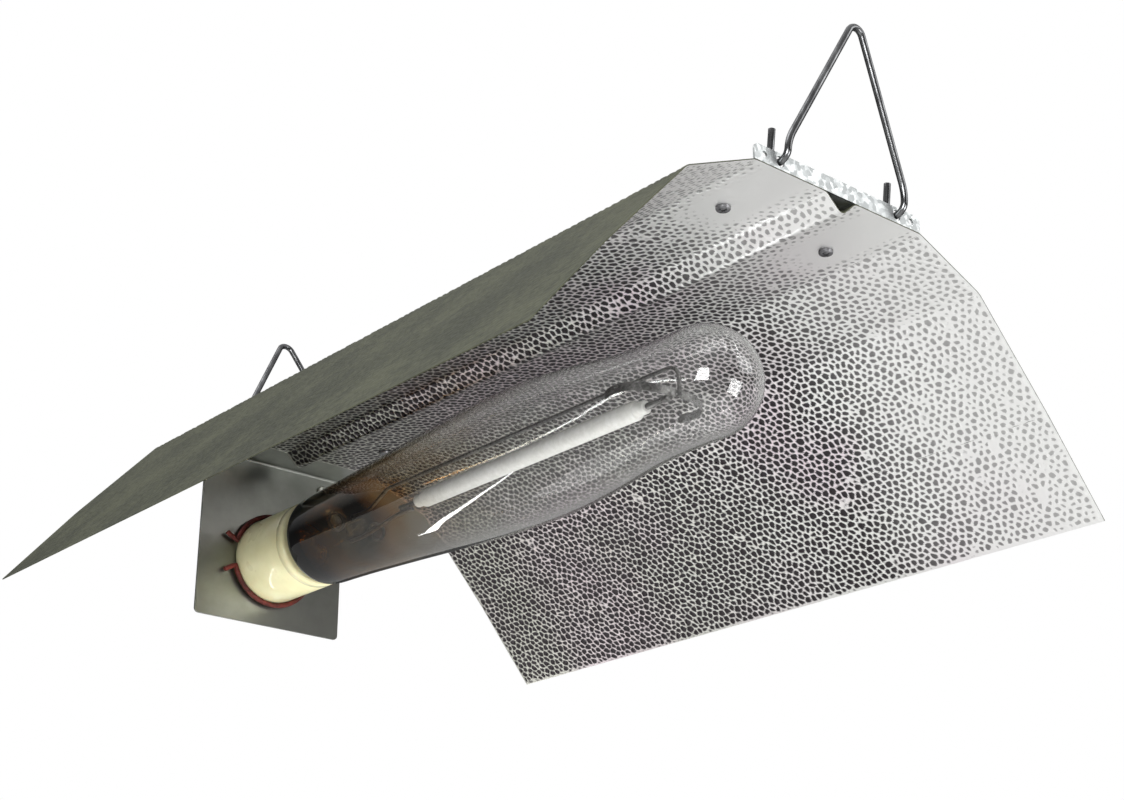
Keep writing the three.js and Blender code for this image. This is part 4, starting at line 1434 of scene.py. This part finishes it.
@dataclass
class Lampholder:
    """The glazed porcelain body, its split wire ring and its two screws."""

    radius: float = 28.5 * MM
    length: float = 56.5 * MM
    edge: float = 2.5 * MM
    mouth: float = 22.6 * MM
    cavity: float = 21.6 * MM
    cavity_depth: float = 41.5 * MM
    web: float = 3.5 * MM
    recess: float = 19 * MM
    ring_wire: float = 1.6 * MM
    ring_gap: float = 16
    ring_place: float = 3.4 * MM
    prong: float = 9 * MM
    screw_head: Pair = (3.2 * MM, 2.2 * MM)
    screw_shank: float = 1.7 * MM
    screw_core: float = 1.4 * MM
    screw_pitch: float = 0.8 * MM

    def body(self, back: float, axis: float, finishes: Finishes) -> None:
        """Spins the porcelain, with a shallow step behind its front rim.

        Args:
            back: Where the porcelain's back is along X.
            axis: The height of the lamp's own axis.
            finishes: The lamp's finishes.
        """
        front = back + self.length
        floor = front - self.cavity_depth
        web = floor - self.web
        outer = self.radius
        profile = [(web, 0.0), (web, self.recess), (back + 0.6 * MM, self.recess)]
        profile += [(back, self.recess + 0.6 * MM)]
        profile += round_corner((back + self.edge, outer - self.edge), self.edge, 180, 90)
        step = front - 7 * MM
        profile += [(back + 8 * MM, outer), (back + 20 * MM, outer), (step - 1 * MM, outer)]
        profile += [(step - 0.5 * MM, outer - 0.35 * MM), (step, outer - 0.5 * MM)]
        profile += [(step + 0.5 * MM, outer - 0.35 * MM), (step + 1 * MM, outer)]
        profile += round_corner((front - self.edge, outer - self.edge), self.edge, 90, 0)
        profile += round_corner((front - 1.2 * MM, self.mouth + 1.2 * MM), 1.2 * MM, 0, -90, 4)
        profile += [(front - 4 * MM, self.cavity), (floor + MM, self.cavity)]
        profile += [(floor, self.cavity - MM), (floor, 0.0)]
        piece = turned(profile, axis, 128)
        node = ("lampholder_body",)
        dressed(piece, "lampholder_porcelain", (finishes.porcelain,), stands_for=node)

    def ring(self, back: float, axis: float, finishes: Finishes) -> None:
        """Bends the split ring round the foot of the porcelain, with both ends turned out.

        Args:
            back: Where the porcelain's back is along X.
            axis: The height of the lamp's own axis.
            finishes: The lamp's finishes.
        """
        reach = self.radius + self.ring_wire + 0.3 * MM
        x = back + self.ring_place

        def at(degrees: float, radius: float) -> Point:
            """Gives a point of the ring, with its angle from the left."""
            angle = math.radians(degrees)
            return (x, -radius * math.cos(angle), axis + radius * math.sin(angle))

        start, end = self.ring_gap, 360 - self.ring_gap
        steps = 90
        head = [at(start + 3 - i, reach + self.prong * (1 - i / 3)) for i in range(3)]
        hoop = [at(start + (end - start) * i / steps, reach) for i in range(steps + 1)]
        tail = [at(end - i, reach + self.prong * i / 3) for i in (1, 2, 3)]
        piece = wire([*head, *hoop, *tail], self.ring_wire, 0.8 * MM)
        dressed(
            piece,
            "retaining_ring_wire",
            (finishes.oxide,),
            stands_for=("retaining_ring",),
            angle=60,
        )

    def screws(self, finishes: Finishes) -> None:
        """Makes the cheese-head screws that hold the porcelain from behind the plate.

        Args:
            finishes: The lamp's finishes.
        """
        for place in ("upper", "lower"):
            node = f"lampholder_screw_{place}"
            low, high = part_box(node)
            axis = (low.z + high.z) / 2
            radius, head = self.screw_head
            core, shank, turn = self.screw_core, self.screw_shank, self.screw_pitch
            profile = [(low.x, 0.0), (low.x, 2.7 * MM), (low.x + 0.4 * MM, radius)]
            profile += [(low.x + head, radius), (low.x + head, shank)]
            for i in range(int((high.x - low.x - head - MM) / turn)):
                x = low.x + head + 0.3 * MM + i * turn
                profile += [(x, core), (x + turn / 2, shank)]
            profile += [(high.x - 0.6 * MM, core), (high.x, 0.9 * MM), (high.x, 0.0)]
            piece = turned(profile, axis, 32)
            cutter = block((low.x - MM, -0.4 * MM, axis - 4 * MM), (low.x + MM, 0.4 * MM, axis + 4 * MM))
            combined(piece, cutter, "DIFFERENCE")
            softened(piece, 0.1 * MM, 1, 50)
            dressed(piece, f"{node}_cheese", (finishes.fastener,), stands_for=(node,))

    def build(self, axis: float, finishes: Finishes) -> None:
        """Makes the lampholder's own pieces.

        Args:
            axis: The height of the lamp's own axis.
            finishes: The lamp's finishes.
        """
        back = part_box("lampholder_body")[0].x
        self.body(back, axis, finishes)
        self.ring(back, axis, finishes)
        self.screws(finishes)


@dataclass
class CordGland:
    """The black cord inlet: a hexagon with a threaded neck, and a fluted cap."""

    bore: float = 4 * MM
    flats: float = 21 * MM
    hexagon: float = 3.4 * MM
    neck: float = 7.6 * MM
    shank: float = 6.2 * MM
    cap: float = 9.6 * MM
    flutes: int = 12
    pitch: float = 1.5 * MM

    def body(self, axis: float, finishes: Finishes) -> None:
        """Makes the hexagon, the neck behind it and the shank through the plate.

        Args:
            axis: The height of the lamp's own axis.
            finishes: The lamp's finishes.
        """
        low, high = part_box("cord_gland_body")
        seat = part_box("lampholder_plate")[0].x
        face = seat - self.hexagon
        begin()
        bpy.ops.mesh.primitive_cylinder_add(
            vertices=6,
            radius=self.flats / math.sqrt(3),
            depth=self.hexagon,
            location=(face + self.hexagon / 2, 0, axis),
            rotation=(0, math.pi / 2, math.pi / 6),
        )
        piece = settle(bpy.context.object)
        softened(piece, 0.5 * MM, 2, 50)
        profile = [(low.x, self.bore), (low.x, self.neck - 0.6 * MM)]
        x = low.x + 0.5 * MM
        while x + self.pitch < face:
            profile += [(x, self.neck), (x + self.pitch / 2, self.neck - 0.5 * MM)]
            x += self.pitch
        profile += [(face + MM, self.neck), (face + MM, self.shank), (high.x, self.shank)]
        profile += [(high.x, self.bore), (low.x, self.bore)]
        tube = turned(profile, axis, 64)
        combined(piece, bar(self.shank - MM, (face - MM, 0, axis), (seat + MM, 0, axis)), "DIFFERENCE")
        combined(piece, tube, "UNION")
        node = ("cord_gland_body",)
        dressed(piece, "cord_gland_hexagon", (finishes.nylon,), stands_for=node, angle=20)

    def cover(self, axis: float, finishes: Finishes) -> None:
        """Makes the cap with its flutes and its rounded mouth.

        Args:
            axis: The height of the lamp's own axis.
            finishes: The lamp's finishes.
        """
        low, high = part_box("cord_gland_cap")
        start, end = high.x, low.x
        profile = [(end + 1.2 * MM, self.bore), (end, self.bore + 1.2 * MM), (end, self.cap - 3.4 * MM)]
        profile += [(end + 0.4 * MM, self.cap - 2.4 * MM), (end + 2.2 * MM, self.cap - 0.9 * MM)]
        profile += [(end + 3.8 * MM, self.cap - 0.1 * MM), (end + 4.6 * MM, self.cap)]
        inner = self.neck + 0.3 * MM
        profile += [(start - 0.4 * MM, self.cap), (start, self.cap - 0.4 * MM), (start, inner)]
        profile += [(end + 2 * MM, inner), (end + 2 * MM, self.bore), (end + 1.2 * MM, self.bore)]
        piece = turned(profile, axis, 96)
        for flute in range(self.flutes):
            angle = TURN * flute / self.flutes
            away = self.cap + 0.6 * MM
            y, z = math.cos(angle) * away, axis + math.sin(angle) * away
            cutter = bar(1.1 * MM, (end + 3.5 * MM, y, z), (start + MM, y, z), 16)
            combined(piece, cutter, "DIFFERENCE")
        softened(piece, 0.15 * MM, 2, 50)
        dressed(piece, "cord_gland_cover", (finishes.nylon,), stands_for=("cord_gland_cap",))

    def build(self, axis: float, finishes: Finishes) -> None:
        """Makes both visible pieces of the gland."""
        self.body(axis, finishes)
        self.cover(axis, finishes)


# ---------------------------------------------------------------- the lamp


@dataclass
class DischargeLamp:
    """The screw-based lamp: a stained clear glass tube round a white ceramic arc tube."""

    wall: float = 1.0 * MM
    neck: Pair = (-13.5, 17.3)
    shoulder: tuple[Pair, ...] = ((-1.4, 18), (1.2, 21), (2.9, 25), (6.4, 28.6), (12, 29.9))
    tube: tuple[Pair, ...] = (
        (29, 30.6),
        (54, 31.8),
        (94, 34.2),
        (134, 36.8),
        (174, 39.2),
        (209, 40.2),
        (239, 39.6),
        (269, 37),
        (294, 33.8),
        (314, 31.7),
        (336, 30.9),
        (359, 30.8),
    )
    dome: float = 30.3
    thread_pitch: float = 6.35 * MM
    thread_depth: float = 0.7 * MM
    base_radius: float = 19.3 * MM
    shell_wall: float = 0.45 * MM

    def envelope(self, front: float, axis: float, finishes: Finishes) -> None:
        """Spins the glass, closes its dome and gives it its wall.

        Args:
            front: Where the porcelain's open end is along X.
            axis: The height of the lamp's own axis.
            finishes: The lamp's finishes.
        """
        line = smooth_line([*self.shoulder, *self.tube], 4)
        last, radius = line[-1]
        steps = 16
        angles = [math.pi / 2 * i / steps for i in range(1, steps + 1)]
        dome = [(last + self.dome * math.sin(a), radius * math.cos(a)) for a in angles]
        line = [self.neck, (self.neck[0] + 4, self.neck[1]), *line, *dome[:-1], (dome[-1][0], 0.0)]
        piece = turned([(front + x * MM, radius * MM) for x, radius in line], axis, 96)
        modified(piece, "SOLIDIFY", thickness=self.wall, offset=-1, use_even_offset=True)
        dressed(
            piece,
            "lamp_glass_tube",
            (finishes.lamp_glass,),
            "lamp",
            ("lamp_envelope",),
            70,
        )

    def stem(self, axis: float, finishes: Finishes) -> None:
        """Spins the flared stem and flattens its pinch.

        Args:
            axis: The height of the lamp's own axis.
            finishes: The lamp's finishes.
        """
        low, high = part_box("lamp_stem")
        flare = (high.z - low.z) / 2
        points = [(0, flare), (1.6 * MM, flare), (4 * MM, 8.6 * MM), (8 * MM, 6.9 * MM)]
        points += [(14 * MM, 6.6 * MM), (42 * MM, 6.6 * MM), (48 * MM, 5.8 * MM), (52 * MM, 4.8 * MM)]
        points += [(high.x - low.x - MM, 4.7 * MM)]
        profile = [(low.x, 0.0), *((low.x + x, radius) for x, radius in points)]
        profile += [(high.x, 3.8 * MM), (high.x, 0.0)]
        piece = turned(profile, axis, 48)
        with editing(piece):
            choose_vertices(piece, lambda place: place.x > low.x + 50 * MM)
            middle = (high.x, 0, axis)
            bpy.ops.transform.resize(value=(1, 0.55, 1), center_override=middle)
        dressed(piece, "lamp_stem_pinch", (finishes.stem_glass,), "lamp", ("lamp_stem",), 60)

    def burner(self, axis: float, finishes: Finishes) -> None:
        """Spins the ceramic arc tube and its two lead-in tubes.

        Args:
            axis: The height of the lamp's own axis.
            finishes: The lamp's finishes.
        """
        low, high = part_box("arc_tube")
        radius, cap = 5.5 * MM, 3.9 * MM
        half = [(0.0, 0.0), (0.0, cap - 0.5 * MM), (0.5 * MM, cap), (6.6 * MM, cap)]
        half += [(7 * MM, cap + 0.2 * MM), (7.6 * MM, radius - 0.3 * MM), (8.4 * MM, radius)]
        profile = [(low.x + x, r) for x, r in half] + [(high.x - x, r) for x, r in reversed(half)]
        piece = turned(profile, axis, 48)
        dressed(piece, "arc_tube_ceramic", (finishes.ceramic,), "lamp", ("arc_tube",), 40)
        for end in ("base", "dome"):
            node = f"arc_lead_{end}_end"
            low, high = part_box(node)
            radius = (high.z - low.z) / 2
            line = [(low.x, 0.0), (low.x, radius * 0.7), (low.x + 0.6 * MM, radius)]
            line += [(low.x + 4 * MM, radius)]
            line += [(low.x + 4.6 * MM, radius * 0.82), (high.x - 4.6 * MM, radius * 0.82)]
            line += [(high.x - 4 * MM, radius), (high.x - 0.6 * MM, radius)]
            line += [(high.x, radius * 0.7), (high.x, 0.0)]
            piece = turned(line, axis, 24)
            dressed(piece, f"{node}_tube", (finishes.niobium,), "lamp", (node,), 40)

    def wires(self, front: float, axis: float, finishes: Finishes) -> None:
        """Bends the two frame wires inside the glass.

        Args:
            front: Where the porcelain's open end is along X.
            axis: The height of the lamp's own axis.
            finishes: The lamp's finishes.
        """
        radius, offset, bend = 1.2 * MM, 17 * MM, 9 * MM
        low = 8.1 * MM
        end = front + 339 * MM
        start = front + 38 * MM
        joggle = smooth_line(
            [(start, low), (front + 56 * MM, low), (front + 66 * MM, 12 * MM), (front + 76 * MM, offset)], 8
        )
        corner = round_corner((end - bend, offset - bend), bend, 90, 0, 10)
        line = [*joggle, (front + 140 * MM, offset), (front + 220 * MM, offset), *corner, (end, -1.9 * MM)]
        piece = wire([(x, 0, axis + z) for x, z in line], radius, 0.6 * MM)
        name = "frame_wire_long"
        dressed(piece, f"{name}_bent", (finishes.niobium,), "lamp", (name,), 60)
        name = "frame_wire_short"
        box_low, box_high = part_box(name)
        drop = -3.4 * MM
        line = smooth_line(
            [(box_low.x, -low), (front + 55 * MM, -low), (box_high.x - 18 * MM, drop), (box_high.x, drop)], 8
        )
        piece = wire([(x, 0, axis + z) for x, z in line], radius, 0.6 * MM)
        dressed(piece, f"{name}_bent", (finishes.niobium,), "lamp", (name,), 60)

    def springs(self, axis: float, finishes: Finishes) -> None:
        """Bends the two leaf springs that steady the frame in the dome.

        Args:
            axis: The height of the lamp's own axis.
            finishes: The lamp's finishes.
        """
        width, thickness = 5 * MM, 0.5 * MM
        for hand, side in (("left", -1), ("right", 1)):
            node = f"dome_spring_{hand}"
            low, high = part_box(node)
            reach = max(abs(low.y), abs(high.y)) - thickness
            inner = min(abs(low.y), abs(high.y))
            tip = high.x
            stations = [(0, inner), (1 * MM, reach * 0.45), (7 * MM, reach * 0.85), (17 * MM, reach)]
            stations.append((tip - low.x, reach * 0.94))
            line = smooth_line([(tip - x, side * y) for x, y in stations], 6)
            piece = chain([(x, y, axis - width / 2) for x, y in line])
            with editing(piece):
                bpy.ops.mesh.select_all(action="SELECT")
                bpy.ops.mesh.extrude_region_move(TRANSFORM_OT_translate={"value": (0, 0, width)})
                outwards()
            modified(piece, "SOLIDIFY", thickness=thickness, offset=0)
            softened(piece, 0.12 * MM, 1, 50)
            dressed(piece, f"{node}_leaf", (finishes.niobium,), "lamp", (node,))

    def getters(self, finishes: Finishes) -> None:
        """Spins the two channel rings beside the stem.

        Args:
            finishes: The lamp's finishes.
        """
        for hand in ("left", "right"):
            node = f"getter_ring_{hand}"
            low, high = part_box(node)
            middle = (low + high) / 2
            outer = (high.z - low.z) / 2
            half = (high.x - low.x) / 2
            x, inner, web = middle.x, outer - 1.6 * MM, 0.35 * MM
            profile = [(x - half, inner), (x - half, outer), (x + half, outer), (x + half, outer - web)]
            profile += [(x - half + web, outer - web), (x - half + web, inner + web)]
            profile += [(x + half, inner + web), (x + half, inner), (x - half, inner)]
            piece = turned(profile, middle.z, 48)
            piece.data.transform(Matrix.Translation((0, middle.y, 0)))
            dressed(piece, f"{node}_channel", (finishes.niobium,), "lamp", (node,), 40)

    def base(self, axis: float, finishes: Finishes) -> None:
        """Rolls the threaded brass shell, and spins the black foot and the centre contact.

        Args:
            axis: The height of the lamp's own axis.
            finishes: The lamp's finishes.
        """
        low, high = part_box("lamp_base_shell")
        length = high.x - low.x
        crest, foot = self.base_radius, 14 * MM
        start, end = 2.8 * MM, length - 2.2 * MM

        def place(u: np.ndarray, v: np.ndarray) -> np.ndarray:
            """Lays the grid on the rolled thread.

            Args:
                u: Shares along the shell.
                v: Shares round it.

            Returns:
                The places.
            """
            x = u * length
            angle = v * TURN
            wave = 0.5 - 0.5 * np.cos(TURN * x / self.thread_pitch - angle)
            fade = np.clip((x - start) / (2 * MM), 0, 1) * np.clip((end - x) / (2 * MM), 0, 1)
            neck = np.clip(x / start, 0, 1)
            radius = crest - wave * self.thread_depth * fade - (crest - foot) * (1 - neck) ** 2
            return np.stack([low.x + x, radius * np.cos(angle), axis - radius * np.sin(angle)], axis=1)

        piece = mapped(88, 96, place)
        with editing(piece):
            closed()
        modified(piece, "SOLIDIFY", thickness=self.shell_wall, offset=-1)
        name = "lamp_base_shell"
        dressed(piece, f"{name}_thread", (finishes.lamp_brass,), "lamp", (name,), 60)

        low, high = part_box("lamp_base_insulator")
        tip = 6.5 * MM
        profile = [(low.x, 0.0), (low.x, tip + 0.4 * MM), (low.x + 0.4 * MM, tip + 1.2 * MM)]
        profile += [(low.x + 1.2 * MM, tip + 2.2 * MM), (low.x + 2.6 * MM, 11.2 * MM)]
        profile += [(low.x + 3.4 * MM, 12 * MM), (low.x + 4 * MM, 12.6 * MM)]
        profile += [(high.x, 12.6 * MM), (high.x, 0.0)]
        piece = turned(profile, axis, 64)
        name = "lamp_base_insulator"
        dressed(piece, f"{name}_glass", (finishes.base_glass,), "lamp_tip", (name,), 50)

        low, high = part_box("lamp_base_contact")
        profile = [(low.x, 0.0), (low.x + 0.05 * MM, 2.4 * MM), (low.x + 0.35 * MM, 4.2 * MM)]
        profile += [(low.x + 0.8 * MM, 5.6 * MM), (high.x - 0.2 * MM, tip)]
        profile += [(high.x, tip - 0.2 * MM), (high.x, 0.0)]
        piece = turned(profile, axis, 48)
        name = "lamp_base_contact"
        dressed(piece, f"{name}_solder", (finishes.fastener,), "lamp_tip", (name,), 50)

    def build(self, front: float, axis: float, finishes: Finishes) -> None:
        """Makes every piece of the lamp.

        Args:
            front: Where the porcelain's open end is along X.
            axis: The height of the lamp's own axis.
            finishes: The lamp's finishes.
        """
        self.envelope(front, axis, finishes)
        self.stem(axis, finishes)
        self.burner(axis, finishes)
        self.wires(front, axis, finishes)
        self.springs(axis, finishes)
        self.getters(finishes)
        self.base(axis, finishes)


# ---------------------------------------------------------------- studio


@dataclass
class Studio:
    """A pale floor, soft lights, a white backdrop and the camera."""

    eye: Point = (0.7957, -0.6556, -0.5386)
    heading: float = 40.55
    rise: float = 22.02
    lens: float = 61.49
    floor_height: float = -1.5

    def camera(self) -> None:
        """Puts the camera below the lamp at its open end."""
        heading, rise = math.radians(self.heading), math.radians(self.rise)
        forward = Vector(
            (-math.cos(heading) * math.cos(rise), math.sin(heading) * math.cos(rise), math.sin(rise))
        )
        data = bpy.data.cameras.new("camera")
        data.lens = self.lens
        data.sensor_width = 36
        data.clip_start = 0.01
        camera = bpy.data.objects.new("camera", data)
        camera.location = self.eye
        camera.rotation_euler = forward.to_track_quat("-Z", "Y").to_euler()
        bpy.context.scene.collection.objects.link(camera)
        bpy.context.scene.camera = camera

    def floor(self) -> None:
        """Lays the pale floor."""
        begin()
        bpy.ops.mesh.primitive_plane_add(size=24, location=(0, 0, self.floor_height))
        floor = settle(bpy.context.object)
        floor.name = "floor"
        paint = Paint("pale floor")
        tone = paint.noise(2, 2)
        floor.data.materials.append(
            paint.finish(Base_Color=paint.mix(tone, (0.78, 0.78, 0.77), (0.83, 0.83, 0.82)), Roughness=0.7)
        )

    def light(
        self, name: str, place: Point, aim: Point, size: Pair, power: float, mirrored: bool = True
    ) -> None:
        """Hangs one soft rectangular light, which reflections may be told to leave out.

        Args:
            name: What the light is called.
            place: Where it hangs.
            aim: The point it faces.
            size: Its width and height.
            power: Its power in watts.
            mirrored: Whether it shows in reflections.
        """
        data = bpy.data.lights.new(name, "AREA")
        data.shape = "RECTANGLE"
        data.size, data.size_y = size
        data.energy = power
        lamp = bpy.data.objects.new(name, data)
        lamp.location = place
        lamp.visible_glossy = mirrored
        lamp.rotation_euler = (Vector(aim) - Vector(place)).to_track_quat("-Z", "Y").to_euler()
        bpy.context.scene.collection.objects.link(lamp)

    def backdrop(self) -> None:
        """Shows white behind the lamp, and a softer grey room in its reflections."""
        world = bpy.data.worlds.new("studio")
        bpy.context.scene.world = world
        world.use_nodes = True
        tree = world.node_tree
        output = tree.nodes["World Output"]
        room = tree.nodes["Background"]
        coordinates = tree.nodes.new("ShaderNodeTexCoord")
        split = tree.nodes.new("ShaderNodeSeparateXYZ")
        tree.links.new(coordinates.outputs["Generated"], split.inputs[0])
        height = Amount(tree, split.outputs[2]) * 0.5 + 0.5
        ramp = tree.nodes.new("ShaderNodeValToRGB")
        stops = ((0.0, 0.55), (0.30, 0.42), (0.46, 0.10), (0.60, 0.06), (0.78, 0.45), (1.0, 0.85))
        while len(ramp.color_ramp.elements) < len(stops):
            ramp.color_ramp.elements.new(1)
        for element, (position, tone) in zip(ramp.color_ramp.elements, stops):
            element.position = position
            element.color = (tone, tone, tone, 1)
        tree.links.new(height.socket, ramp.inputs[0])
        tree.links.new(ramp.outputs[0], room.inputs["Color"])
        white = tree.nodes.new("ShaderNodeBackground")
        white.inputs["Color"].default_value = (1, 1, 1, 1)
        seen = tree.nodes.new("ShaderNodeLightPath")
        mixed = tree.nodes.new("ShaderNodeMixShader")
        tree.links.new(seen.outputs["Is Camera Ray"], mixed.inputs[0])
        tree.links.new(room.outputs[0], mixed.inputs[1])
        tree.links.new(white.outputs[0], mixed.inputs[2])
        tree.links.new(mixed.outputs[0], output.inputs["Surface"])

    def build(self) -> None:
        """Sets up everything round the lamp."""
        self.camera()
        self.floor()
        self.backdrop()
        middle = (0.0, 0.0, -0.15)
        self.light("camera side softbox", (1.3, -1.5, -0.35), middle, (1.0, 0.8), 34)
        self.light("open end softbox", (1.5, 0.5, -0.7), middle, (0.7, 0.7), 12)
        self.light("low fill", (0.1, 0.1, -0.9), middle, (1.2, 1.2), 8, False)
        self.light("top softbox", (-0.2, -0.9, 1.3), middle, (1.2, 0.9), 10)
        self.light("end softbox", (1.3, 0.95, 0.45), (0.24, 0, -0.08), (0.9, 0.7), 5)
        self.light("streak softbox", (-1.0, -0.32, -0.9), (0, 0, -0.16), (0.9, 0.03), 0.9)
        bpy.context.scene.view_settings.view_transform = "Standard"


def dress_frame(finishes: Finishes) -> None:
    """Gives the frame's own hidden contacts and terminals their finishes.

    Args:
        finishes: The lamp's finishes.
    """
    choices = {
        "screw_shell": finishes.brass,
        "centre_contact": finishes.brass,
        "shell_terminal": finishes.brass,
        "contact_terminal": finishes.brass,
        "shell_terminal_screw": finishes.fastener,
        "contact_terminal_screw": finishes.fastener,
        "cord_gland_nut": finishes.nylon,
    }
    for name, material in choices.items():
        for slot in frame["nodes"][name].material_slots:
            slot.material = material
        log.info("%s dressed", name)


def main() -> None:
    """Builds the lamp piece by piece, then the studio."""
    logging.basicConfig(level=logging.INFO, format="%(name)s: %(message)s")
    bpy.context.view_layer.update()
    finishes = Finishes()
    low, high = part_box("lampholder_body")
    axis = (low.z + high.z) / 2
    Reflector().build(finishes)
    for end in ("near", "far"):
        EndBracket().build(end, finishes)
        WireHanger().build(end, finishes)
    Fixings().build(finishes)
    HolderPlate().build(axis, finishes)
    Lampholder().build(axis, finishes)
    CordGland().build(axis, finishes)
    DischargeLamp().build(high.x, axis, finishes)
    dress_frame(finishes)
    Studio().build()


if __name__ == "__main__":
    main()
